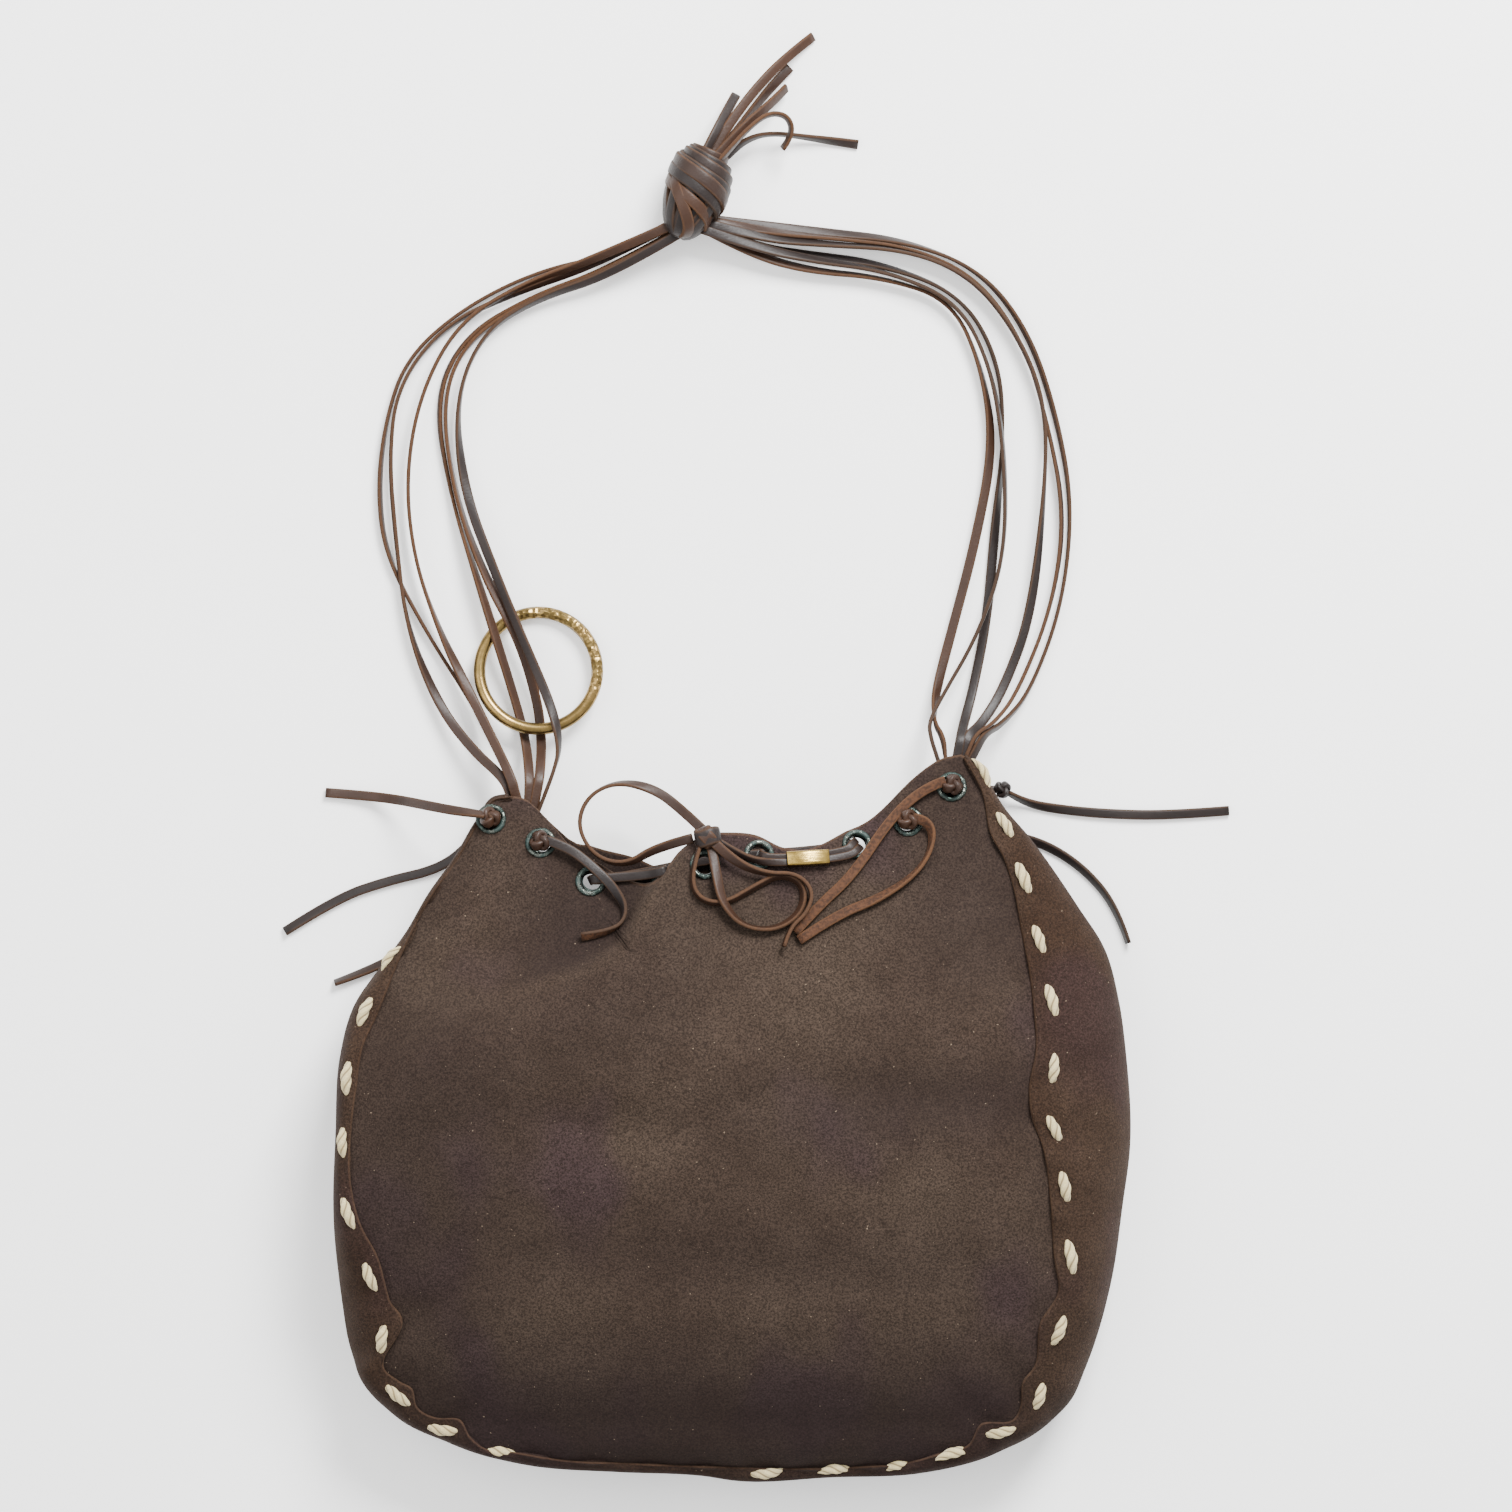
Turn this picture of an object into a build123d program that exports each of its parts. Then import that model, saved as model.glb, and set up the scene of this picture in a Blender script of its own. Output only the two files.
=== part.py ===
from build123d import *
from math import atan2, cos, degrees, hypot, pi, radians, sin, tan
import os

# A drawstring shoulder bag of thick suede, lying on its back with its lace strap laid out flat.
# +Z is up out of the bag's front, +Y runs from the bag's foot to its mouth, +X is to the right.
# The origin is the middle of the bag's base box, on the surface that the bag lies on.

# ---------------------------------------------------------------- driving dimensions, millimetres
LEATHER = 2.0                 # thickness of the suede
FRONT_AT_FOOT = 12.0          # height of the front where it rolls over at the foot
WIDEST_AT = 16.0              # height of the bag's widest line above the surface
FULLEST = 50.0                # height of the filled middle
BACK_INSET = 9.0              # how far the bag's base lies inside the widest line
PEAK_INSET = 4.0              # how far the back seam lies inside the outline at the peaks
SLOPE_FROM = 20.0             # Y where the front starts its straight slope to the mouth
MOUTH_Y = 110.0               # Y at which the front's height over the surface is MOUTH_HEIGHT
MOUTH_HEIGHT = 24.0
FRONT_FALL = 0.25             # fall of the front towards the mouth, mm per mm
BACK_LIFT_FROM = 50.0         # Y where the back starts to rise off the surface
BACK_RISE = 0.19              # rise of the back towards the mouth, mm per mm
FRONT_SEAM_ABOVE = 17.2       # the front panel's lowest edge, at the peaks
BACK_SEAM_BELOW = 16.0        # the back panel's highest edge, at the peaks
ABOVE_FULLEST = 6.0           # the pillow shape goes this far above the fullest height, cut off later
SEAM_SPREAD = 1.12            # the sides at that height, against the front seam's inset
MOUTH_BEYOND = 7.0            # how much further than the peaks the inner space goes, to open the mouth
PROFILE_BEYOND = 5.0          # the same for the side view's outline
FAR = 150.0                   # farther out than anything on the bag

LACE = 1.6                    # diameter of the round cord that stands for a flat lace, thin enough to bundle
STITCH_LENGTH = 9.0
STITCH_DIAMETER = 3.2

FLANGE_RADIUS = 5.35
HOLE_RADIUS = 3.1
BARREL_WALL = 0.5
FLANGE_THICKNESS = 0.8
WASHER_THICKNESS = 0.6
WASHER_RADIUS = 5.0

RING_RADIUS = 19.6            # middle of the ring's wire
RING_WIRE = 4.0
RING_CENTRE = (-64.7, 148.2, 5.0)
RING_TILT = 8.0               # degrees, the side nearest the bag is the higher

SLIDER = (14.0, 4.6, 3.8)     # length, width and height of the drawstring's slider
SLIDER_WALL = 0.45
SLIDER_CENTRE = (24.7, 86.2)
SLIDER_TURN = 5.0             # degrees from +X
SLIDER_LIFT = 2.3

KNOT_CENTRE = (-12.0, 308.5, 12.0)
KNOT_HALF_LENGTH = 16.5
KNOT_LEAN = (0.35, 0.94, 0.0) # the direction in which the lace ends leave the knot
STOPPER_RADIUS = 3.5
STOPPER_LIFT = 4.5            # middle of a stopper knot above the leather

# The bag's outline from the left peak down and round to the right peak:
# x, y, and how far the front seam lies inside it there.
OUTLINE = [
    (-79.3, 106.2, 5), (-92.3, 85.8, 6), (-107.7, 62.2, 6), (-117.0, 49.5, 7), (-125.0, 37.8, 7),
    (-129.7, 20.5, 7), (-131.0, -4.8, 6), (-131.7, -34.2, 9), (-129.3, -61.2, 17), (-122.3, -87.2, 16),
    (-110.3, -99.2, 13), (-93.0, -107.5, 9), (-70.0, -114.2, 7), (-38.3, -117.5, 6), (0.3, -120.5, 6),
    (35.3, -119.2, 6), (61.3, -117.5, 7), (87.0, -110.8, 9), (103.7, -101.5, 12), (114.5, -88.0, 17),
    (125.3, -54.8, 20), (129.3, -28.2, 25), (131.6, -10.5, 29), (130.3, 21.5, 30), (128.0, 38.5, 28),
    (123.3, 55.8, 26), (114.7, 69.5, 20), (98.0, 93.3, 11), (85.0, 110.8, 6), (80.3, 117.8, 5),
]
LEFT_PEAK = (-73.3, 106.8)
RIGHT_PEAK = (76.5, 120.5)
FRONT_EDGE = [
    (-73.3, 106.8), (-66.0, 103.8), (-56.7, 93.5), (-44.0, 84.9), (-31.0, 87.2), (-17.3, 91.5),
    (-9.0, 95.8), (7.7, 94.9), (22.0, 90.8), (35.9, 95.4), (49.9, 103.4), (62.0, 115.2), (76.5, 120.5),
]
BACK_EDGE = [
    (-73.3, 106.8), (-64.0, 101.0), (-56.0, 93.5), (-40.0, 89.0), (-24.0, 87.0), (-9.0, 93.5), (7.7, 93.0),
    (22.0, 89.0), (35.9, 94.0), (49.9, 102.4), (62.0, 114.2), (76.5, 120.5),
]

EYELETS = [
    (-79.7, 99.0), (-63.3, 91.2), (-46.7, 78.6), (-21.7, 82.2), (-9.0, 84.2),
    (8.7, 87.3), (41.0, 90.6), (57.8, 98.2), (72.3, 109.6),
]

FRONT_STITCHES = [
    (82.7, 113.5), (89.7, 97.2), (95.7, 79.8), (100.7, 59.7), (104.7, 39.8), (105.2, 17.2), (105.3, -2.2),
    (108.7, -21.2), (110.7, -44.2), (107.0, -68.7), (100.7, -90.7), (88.0, -102.5), (72.7, -109.8),
    (55.0, -113.9), (34.0, -115.7), (11.2, -116.9),
    (-112.7, 53.2), (-120.7, 35.8), (-126.3, 14.2), (-127.6, -6.8), (-125.9, -29.8), (-118.8, -50.8),
    (-114.9, -71.8), (-110.0, -90.4), (-95.3, -101.7), (-77.0, -109.4),
]
BACK_STITCH_SPACING = 2       # a back stitch at every second point of the outline
BACK_STITCHES_BELOW = 70.0    # the peaks have no back stitches


# ---------------------------------------------------------------- the bag's heights

def front_height(y):
    """Height of the front's outside on its straight slope."""
    return MOUTH_HEIGHT + FRONT_FALL * (MOUTH_Y - y)


def back_height(y):
    """Height of the back's outside."""
    return max(0.0, BACK_RISE * (y - BACK_LIFT_FROM))


def back_seam_inset(y):
    """How far the back seam lies inside the outline: less and less from Y 60 to the peaks."""
    share = min(max((100.0 - y) / 40.0, 0.0), 1.0)
    return PEAK_INSET + share * BACK_INSET


def inset(points, distances):
    """The corners of an open run of an outline, each moved to its inner side by its own distance."""
    moved = []
    for i, (x, y) in enumerate(points):
        x0, y0 = points[max(i - 1, 0)]
        x1, y1 = points[min(i + 1, len(points) - 1)]
        length = hypot(x1 - x0, y1 - y0)
        moved.append((x - (y1 - y0) / length * distances[i], y + (x1 - x0) / length * distances[i]))
    return moved


def prism(points, low, high):
    """An upright prism on a closed outline of corners."""
    face = make_face(Plane.XY.offset(low) * Polyline(*points, close=True))
    return extrude(face, high - low)


def hull(wall):
    """The bag's outside for a wall of 0, and the space inside it for the leather's thickness."""
    corners = [(x, y) for x, y, _ in OUTLINE]
    beyond = MOUTH_BEYOND if wall else 0.0
    levels = []
    for height, extra in ((0.0, [BACK_INSET] * len(OUTLINE)),
                          (WIDEST_AT, [0.0] * len(OUTLINE)),
                          (FULLEST + ABOVE_FULLEST, [seam * SEAM_SPREAD for _, _, seam in OUTLINE])):
        ring = inset(corners, [e + wall for e in extra])
        left, right = ring[0], ring[-1]
        mouth = [(right[0] - 4, RIGHT_PEAK[1] + 1 + beyond), (left[0] + 4, LEFT_PEAK[1] + 1 + beyond)]
        levels.append(make_face(Plane.XY.offset(height) * Polyline(*ring, *mouth, close=True)))
    pillow = loft(levels, ruled=True)
    return pillow & side_profile(wall)


def side_profile(wall):
    """What the bag's side view leaves: the front's top line, the mouth, and the lifted back."""
    end = RIGHT_PEAK[1] + 2 + (PROFILE_BEYOND if wall else 0.0)
    foot = -121.5 + wall
    crown = [(foot, FRONT_AT_FOOT), (-112.0, 28.0), (-98.0, 37.0), (-70.0, 45.5), (-20.0, FULLEST),
             (SLOPE_FROM, front_height(SLOPE_FROM))]
    top = Spline(*[(0, y, z - wall) for y, z in crown])
    slope = Polyline((0, SLOPE_FROM, front_height(SLOPE_FROM) - wall), (0, end, front_height(end) - wall),
                     (0, end, back_height(end) + wall), (0, BACK_LIFT_FROM, wall), (0, foot, wall),
                     (0, foot, FRONT_AT_FOOT - wall))
    face = make_face([top, slope])
    return extrude(face, FAR, both=True)


def largest(shape):
    """The one real solid of a cut, without the slivers that the cut leaves."""
    return max(shape.solids(), key=lambda solid: solid.volume)


def bag_panels():
    """The front panel, the back panel and the side gusset, cut from one hollow shell at its seams."""
    shell = hull(0.0) - hull(LEATHER)
    corners = [(x, y) for x, y, _ in OUTLINE]
    seam = inset(corners, [s for _, _, s in OUTLINE])
    back_seam = inset(corners, [back_seam_inset(y) for _, y in corners])
    front_cut = prism(seam + FRONT_EDGE[::-1], FRONT_SEAM_ABOVE, FULLEST + 20)
    back_cut = prism(back_seam + BACK_EDGE[::-1], -5, BACK_SEAM_BELOW)
    whole_outline = prism(corners + FRONT_EDGE[::-1], -5, FULLEST + 20)
    gusset = (shell & whole_outline) - front_cut - back_cut
    return largest(shell & front_cut), largest(shell & back_cut), largest(gusset)


# ---------------------------------------------------------------- eyelets and stitches

def on_front(x, y):
    """A plane on the front's slope, its Z out of the leather."""
    return Plane((x, y, front_height(y)), x_dir=(1, 0, 0), z_dir=(0, FRONT_FALL, 1))


def on_back(x, y):
    """A plane on the back's slope, its Z out of the leather, downwards."""
    return Plane((x, y, back_height(y)), x_dir=(1, 0, 0), z_dir=(0, BACK_RISE, -1))


def eyelet():
    """A flanged barrel, its flange on the outside of the leather at height 0."""
    barrel_length = LEATHER + WASHER_THICKNESS
    flange = Pos(0, 0, FLANGE_THICKNESS / 2) * Cylinder(FLANGE_RADIUS, FLANGE_THICKNESS)
    flange = fillet(flange.edges().group_by(Axis.Z)[-1], FLANGE_THICKNESS * 0.6)
    barrel = Pos(0, 0, -barrel_length / 2) * Cylinder(HOLE_RADIUS + BARREL_WALL, barrel_length)
    return flange + barrel - Cylinder(HOLE_RADIUS, 4 * barrel_length)


def washer():
    """The ring on the inside of the leather that the barrel is set into."""
    middle = -LEATHER * 1.02 - WASHER_THICKNESS / 2
    return Pos(0, 0, middle) * (Cylinder(WASHER_RADIUS, WASHER_THICKNESS)
                                - Cylinder(HOLE_RADIUS + BARREL_WALL, 3 * WASHER_THICKNESS))


def punch():
    """What a hole for an eyelet takes out of the leather."""
    return Cylinder(HOLE_RADIUS + BARREL_WALL, 4 * LEATHER)


def seat():
    """What the gusset's edge leaves free round an eyelet at a peak."""
    return Cylinder(FLANGE_RADIUS + 0.1, 5 * LEATHER)


def stitch():
    """One outside run of the seam's cord, along X, with its two ends going down through the leather."""
    reach = STITCH_LENGTH / 2 - STITCH_DIAMETER / 2
    depth = STITCH_DIAMETER
    path = FilletPolyline((-reach, 0, -depth), (-reach, 0, STITCH_DIAMETER * 0.1),
                          (reach, 0, STITCH_DIAMETER * 0.1), (reach, 0, -depth), radius=STITCH_DIAMETER * 0.52)
    return sweep(Plane((-reach, 0, -depth)) * Circle(STITCH_DIAMETER / 2), path=path)


# ---------------------------------------------------------------- laces

# Every route is a list of points x, y, z along the middle of one lace. Z is over the surface that the
# bag lies on; a route on the front gives its lift over the leather instead, and front_route adds the rest.

def front_route(points):
    """Points x, y and lift, as x, y, z on the front's slope."""
    return [(x, y, front_height(y) + lift) for x, y, lift in points]


STRAP_LEFT = [
    [(-19.0, 297.5, 8.0), (-39.3, 286.2, 3.0), (-64.8, 281.5, 1.2), (-90.3, 268.8, 1.2), (-109.0, 252.0, 1.2),
     (-115.8, 231.0, 1.2), (-118.2, 208.0, 1.2), (-115.5, 186.2, 1.2), (-102.0, 160.8, 1.2), (-89.5, 141.5, 3.0),
     (-79.5, 124.5, 8.5), (-72.5, 112.8, 15.0)],
    [(-18.8, 297.0, 11.0), (-44.0, 284.0, 5.0), (-73.3, 273.8, 3.2), (-96.3, 263.0, 3.2), (-111.7, 243.2, 3.2),
     (-114.5, 219.0, 3.2), (-112.3, 192.2, 3.2), (-108.7, 162.8, 3.2), (-98.0, 136.5, 3.6), (-86.3, 121.5, 8.0),
     (-75.8, 112.5, 14.8)],
    [(-18.6, 296.5, 14.0), (-46.0, 284.8, 7.5), (-70.0, 276.8, 5.2), (-91.5, 264.0, 5.2), (-104.2, 240.0, 5.2),
     (-108.9, 212.0, 5.2), (-106.0, 184.8, 5.2), (-97.5, 161.0, 5.2), (-89.0, 143.8, 6.2), (-79.8, 125.5, 11.0),
     (-73.4, 112.8, 17.2)],
    [(-16.6, 295.0, 7.4), (-40.0, 281.8, 3.0), (-66.0, 273.5, 1.2), (-89.0, 260.5, 1.2), (-99.5, 239.0, 1.2),
     (-94.0, 206.0, 1.6), (-85.6, 180.8, 6.4), (-78.6, 158.5, 7.0), (-72.6, 139.0, 3.2), (-69.0, 125.5, 3.0),
     (-67.3, 113.2, 15.0)],
    [(-16.4, 294.5, 10.4), (-42.0, 279.8, 5.0), (-68.0, 271.3, 3.2), (-89.5, 257.5, 3.2), (-97.0, 237.0, 3.2),
     (-92.5, 206.0, 3.8), (-82.2, 178.8, 6.4), (-71.2, 159.0, 6.4), (-65.2, 139.0, 3.2), (-63.6, 125.5, 3.0),
     (-63.8, 113.8, 15.0)],
    [(-16.2, 294.0, 13.4), (-40.0, 280.0, 8.0), (-64.7, 272.3, 5.2), (-83.5, 260.5, 5.2), (-92.5, 238.0, 5.2),
     (-89.5, 208.0, 5.2), (-79.0, 180.5, 8.0), (-69.5, 158.0, 9.0), (-59.5, 134.8, 12.0), (-57.2, 122.5, 14.0),
     (-59.5, 114.2, 16.4)],
]
STRAP_RIGHT = [
    [(-8.5, 298.2, 7.4), (9.0, 296.5, 4.0), (30.0, 294.2, 1.6), (58.0, 291.5, 1.2), (82.7, 281.5, 1.2),
     (98.5, 261.0, 1.2), (107.8, 233.0, 1.2), (113.2, 203.0, 1.2), (109.8, 170.0, 1.2), (99.0, 141.0, 2.0),
     (89.5, 130.2, 8.5), (83.4, 127.2, 16.6)],
    [(-8.2, 296.4, 12.6), (10.0, 291.8, 7.6), (29.2, 290.2, 5.2), (58.0, 288.2, 5.2), (79.0, 279.5, 5.2),
     (94.0, 261.5, 5.2), (103.5, 239.0, 5.2), (104.4, 215.0, 5.2), (99.7, 168.0, 5.2), (90.3, 142.5, 5.2),
     (82.6, 130.4, 10.5), (78.0, 126.8, 16.4)],
    [(-8.0, 297.4, 10.0), (12.0, 294.0, 6.6), (34.0, 292.0, 3.4), (60.0, 289.0, 3.2), (82.0, 278.5, 3.2),
     (97.0, 257.0, 3.2), (105.0, 230.0, 3.2), (110.6, 200.0, 3.2), (106.5, 170.0, 3.2), (94.8, 141.0, 6.0),
     (86.6, 130.6, 15.2), (80.7, 127.2, 17.2)],
    [(-10.2, 295.8, 7.8), (6.0, 289.5, 4.0), (24.0, 286.6, 1.4), (50.0, 283.8, 1.2), (76.0, 273.5, 1.2),
     (88.5, 252.0, 1.2), (90.4, 226.0, 1.2), (87.3, 196.0, 1.2), (84.8, 166.0, 1.2), (80.0, 142.0, 3.4),
     (76.8, 131.0, 9.5), (75.6, 126.5, 17.0)],
    [(-10.0, 295.2, 10.6), (6.0, 286.8, 6.2), (24.7, 281.4, 3.4), (50.0, 279.2, 3.2), (73.0, 271.5, 3.2),
     (83.0, 249.0, 3.2), (86.9, 223.0, 3.2), (80.5, 190.0, 3.2), (73.0, 162.0, 3.2), (67.4, 141.0, 4.6),
     (66.6, 131.0, 10.0), (69.6, 126.0, 17.0)],
    [(-10.4, 294.6, 13.2), (8.0, 288.6, 8.6), (28.0, 284.6, 5.4), (51.0, 281.2, 5.2), (75.0, 271.0, 5.2),
     (86.0, 249.0, 5.2), (90.6, 220.0, 5.2), (90.6, 186.0, 5.2), (81.5, 160.0, 5.2), (69.5, 139.5, 7.6),
     (65.0, 131.0, 13.0), (65.6, 125.8, 17.0)],
]
KNOT_ENDS = [
    [(-6.8, 320.5, 12.0), (0.5, 332.0, 11.0), (8.5, 342.5, 9.0), (17.5, 352.0, 5.5), (26.7, 359.5, 1.4)],
    [(-4.6, 319.8, 9.4), (2.5, 329.5, 7.6), (9.5, 338.5, 4.8), (14.5, 344.5, 2.4), (19.0, 349.2, 1.2)],
    [(-4.4, 319.6, 14.6), (4.0, 328.5, 14.0), (10.5, 334.5, 10.5), (14.5, 338.5, 6.5), (17.8, 342.2, 3.5)],
    [(-8.6, 320.8, 14.8), (-5.0, 328.0, 13.0), (-2.0, 334.0, 9.0), (1.0, 339.8, 4.0)],
    [(-2.6, 318.4, 12.0), (4.5, 324.5, 11.0), (13.0, 327.0, 7.0), (27.0, 325.5, 2.0), (41.7, 323.5, 1.2)],
    [(-2.8, 318.6, 16.6), (5.0, 327.5, 16.6), (12.0, 333.0, 15.0), (18.4, 332.0, 13.6), (20.0, 326.0, 11.5),
     (16.5, 321.5, 10.0)],
]

# From the hinge line into the mouth and out through an eyelet to its stopper knot.
ROOTS_LEFT = [
    [(-72.5, 110.6, 16.4), (-74.6, 104.5, 17.4), (-78.9, 97.6, 21.0), (-79.7, 100.1, 31.5)],
    [(-67.3, 111.0, 15.4), (-65.5, 103.0, 15.6), (-63.4, 93.6, 20.5), (-63.3, 90.6, 26.0), (-63.3, 92.2, 33.0)],
    [(-75.0, 110.3, 14.6), (-75.6, 104.0, 14.4), (-78.6, 98.6, 13.8), (-79.7, 99.7, 6.2)],
    [(-63.6, 111.6, 15.2), (-62.6, 103.5, 14.2), (-63.2, 95.0, 13.2), (-63.3, 90.5, 11.6), (-63.3, 91.8, 4.8)],
]
ROOTS_RIGHT = [
    [(77.4, 123.6, 17.6), (73.6, 118.2, 18.0), (72.6, 110.6, 18.8), (72.3, 108.8, 21.5), (72.3, 110.6, 28.0)],
    [(65.2, 122.0, 16.6), (61.5, 115.0, 16.6), (58.2, 102.0, 18.4), (57.8, 97.6, 22.5), (57.8, 99.2, 31.5)],
    [(79.8, 123.2, 16.4), (75.6, 118.4, 17.0), (75.2, 111.5, 16.2), (76.2, 107.8, 13.2), (77.5, 108.9, 8.4),
     (82.6, 108.6, 7.0), (88.6, 108.7, 6.2)],
    [(69.4, 122.6, 16.4), (65.0, 114.5, 16.6), (59.0, 103.5, 15.6), (57.8, 97.5, 13.0), (57.8, 98.8, 6.2)],
]
RIGHT_BACK_EYELET = (76.5, 108.5)
OUTER_STOPPER = (89.6, 108.7, 6.2)
FRONT_STOPPERS = [(-79.7, 99.0), (-63.3, 91.2), (57.8, 98.2), (72.3, 109.6)]
BACK_STOPPERS = [(-79.7, 99.0), (-63.3, 91.2), (57.8, 98.2)]
BACK_STOPPER_RADIUS = 2.7
BACK_STOPPER_LIFT = 3.7

TAILS = {
    "tail_left_top": [(-81.4, 100.4, 30.6), (-91.0, 101.6, 27.5), (-102.0, 103.6, 17.5), (-112.0, 105.4, 6.0),
                      (-123.5, 106.7, 1.2), (-135.7, 107.6, 1.2)],
    "tail_left_back_upper": [(-81.6, 97.6, 4.8), (-89.0, 88.5, 2.2), (-99.0, 81.8, 1.2), (-115.0, 78.2, 1.2),
                             (-132.0, 72.4, 1.2), (-149.3, 61.3, 1.2)],
    "tail_left_back_lower": [(-65.2, 89.8, 3.4), (-73.5, 82.5, 2.0), (-86.0, 71.5, 1.2), (-100.0, 60.5, 1.2),
                             (-116.0, 50.2, 1.2), (-132.7, 44.2, 1.2)],
    "tail_right_back_upper": [(91.6, 107.6, 5.0), (97.5, 104.0, 1.6), (110.2, 101.8, 1.2), (126.0, 100.4, 1.2),
                              (145.5, 100.0, 1.2), (165.3, 101.6, 1.2)],
    "tail_right_back_lower": [(59.8, 97.4, 4.4), (72.0, 94.6, 2.2), (86.0, 94.2, 1.2), (102.0, 91.6, 1.2),
                              (116.5, 82.8, 1.2), (127.8, 69.5, 1.2), (131.7, 57.4, 1.2)],
}
FRONT_TAILS = {
    "tail_left_front": [(-61.4, 92.2, 4.0), (-54.5, 90.0, 3.2), (-46.5, 84.0, 3.4), (-39.0, 76.6, 3.4),
                        (-34.6, 69.0, 1.6), (-38.2, 62.0, 1.5), (-49.7, 60.4, 1.5)],
    "tail_right_outer": [(70.2, 111.6, 3.6), (63.5, 109.5, 2.6), (52.2, 99.6, 2.4), (39.5, 80.6, 2.0),
                         (28.5, 70.8, 1.6), (20.5, 62.0, 1.6)],
    "tail_right_inner": [(59.6, 99.4, 4.2), (65.0, 98.6, 3.0), (66.0, 90.5, 1.6), (61.0, 81.5, 1.6),
                         (48.5, 73.0, 1.6), (34.0, 67.6, 1.6), (21.8, 59.4, 1.6)],
    "bow_loop_upper": [(-9.6, 95.4, 3.4), (-15.5, 101.0, 2.6), (-25.5, 109.0, 1.4), (-38.0, 111.6, 0.6),
                       (-48.0, 106.6, 0.6), (-51.4, 96.6, 1.4), (-45.4, 86.4, 2.6), (-35.0, 83.6, 2.4),
                       (-25.0, 89.8, 2.6), (-13.2, 92.8, 3.0)],
    "bow_loop_lower": [(-10.6, 90.6, 2.6), (-14.0, 81.0, 2.2), (-11.6, 72.9, 1.6), (-3.0, 70.9, 1.6),
                       (7.0, 76.6, 1.6), (16.0, 81.4, 1.6), (23.6, 77.6, 1.6), (22.8, 68.6, 1.6),
                       (14.0, 62.6, 1.6), (3.0, 64.0, 2.4), (-3.4, 72.0, 3.6), (-5.2, 80.5, 3.4),
                       (-7.0, 90.6, 2.8)],
    "bow_end": [(-6.2, 91.6, 4.8), (0.5, 85.0, 4.2), (11.0, 80.9, 3.6), (21.0, 81.4, 3.6), (26.6, 75.6, 3.6),
                (24.4, 68.4, 3.6), (18.6, 63.6, 3.6), (16.8, 57.4, 3.2)],
}
DRAWSTRING = {
    "drawstring_left": [(-46.9, 78.8, -1.4), (-46.5, 79.2, 2.0), (-40.0, 79.8, 1.6), (-29.0, 80.6, 1.6),
                        (-22.3, 82.0, 2.0), (-21.7, 82.4, -1.4)],
    "drawstring_knot_side": [(-4.9, 91.8, 3.2), (2.5, 87.0, 2.4), (12.8, 84.28, 2.3), (37.6, 86.45, 2.3),
                             (41.8, 89.4, 2.2), (42.0, 89.9, -1.4)],
    "drawstring_mouth_side": [(8.7, 87.8, -1.4), (9.2, 87.4, 2.2), (13.5, 86.08, 2.3), (37.0, 88.14, 2.3),
                              (40.0, 91.4, 2.2), (40.6, 91.9, -1.4)],
}
DRAWSTRING_BACK = [(-46.7, 78.8, 4.0), (-46.2, 78.4, 9.6), (-32.0, 80.4, 10.6), (-4.0, 86.5, 11.4),
                   (24.0, 88.0, 11.8), (40.0, 90.4, 12.0), (41.0, 91.0, 6.4)]
BOW_KNOT = (-8.2, 93.2)
BOW_KNOT_LIFT = 3.3
BOW_KNOT_HALVES = (4.4, 3.6, 2.6)


def corner_radii(points):
    """The largest tangent arcs that a route's runs leave room for: 0.45 of the shorter run at each corner."""
    corners = [Vector(*p) for p in points]
    radii = []
    for before, at, after in zip(corners, corners[1:], corners[2:]):
        turn = radians((at - before).get_angle(after - at))
        shorter = min((at - before).length, (after - at).length)
        radii.append(0.45 * shorter / tan(turn / 2))
    return radii


def lace(points, name):
    """A round lace along a route of runs joined by tangent arcs."""
    radii = corner_radii(points)
    path = FilletPolyline(*points, radius=radii)
    start = Vector(*points[0])
    toward = Vector(*points[1]) - start
    solid = sweep(Plane(start, z_dir=toward) * Circle(LACE / 2), path=path)
    expected = pi * LACE ** 2 / 4 * path.length
    print(f"{name}: length {path.length:.1f}, volume over section times length"
          f" {solid.volume / expected:.4f}, radii {[round(r, 1) for r in radii]}")
    return solid


# ---------------------------------------------------------------- knots, ring and slider

def egg(centre, halves):
    """A closed knot-sized solid with three half sizes."""
    return Pos(*centre) * scale(Sphere(1.0), by=halves)


def strap_knot():
    """The big overhand knot's outside: a barrel that leans the way that the lace ends leave it."""
    end = KNOT_HALF_LENGTH
    side = [(0, -end), (6.0, 1.0 - end), (10.6, -6.5), (11.2, 3.0), (7.6, end - 3.0), (0, end)]
    profile = make_face([Spline(*side), Line(side[-1], side[0])])
    barrel = revolve(Plane.XZ * profile, Axis.Z)
    lean = Plane(KNOT_CENTRE, x_dir=(0, 0, 1), z_dir=KNOT_LEAN)
    return lean * barrel


def ring():
    """The wire ring, its near side lifted by the laces under it."""
    tilt = Rot(-RING_TILT, 0, 0)
    return Pos(*RING_CENTRE) * tilt * Torus(RING_RADIUS, RING_WIRE / 2)


def slider_plane():
    x, y = SLIDER_CENTRE
    turn = radians(SLIDER_TURN)
    along = (cos(turn), sin(turn), -FRONT_FALL * sin(turn))
    return Plane((x, y, front_height(y) + SLIDER_LIFT), x_dir=along, z_dir=(0, FRONT_FALL, 1))


def slider():
    """The flattened brass tube that the drawstring's two ends run through."""
    length, width, height = SLIDER
    outside = Box(length, width, height)
    outside = fillet(outside.edges().filter_by(Axis.X), 1.1)
    inside = Box(2 * length, width - 2 * SLIDER_WALL, height - 2 * SLIDER_WALL)
    inside = fillet(inside.edges().filter_by(Axis.X), 0.7)
    return slider_plane() * (outside - inside)


# ---------------------------------------------------------------- the assembly

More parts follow.
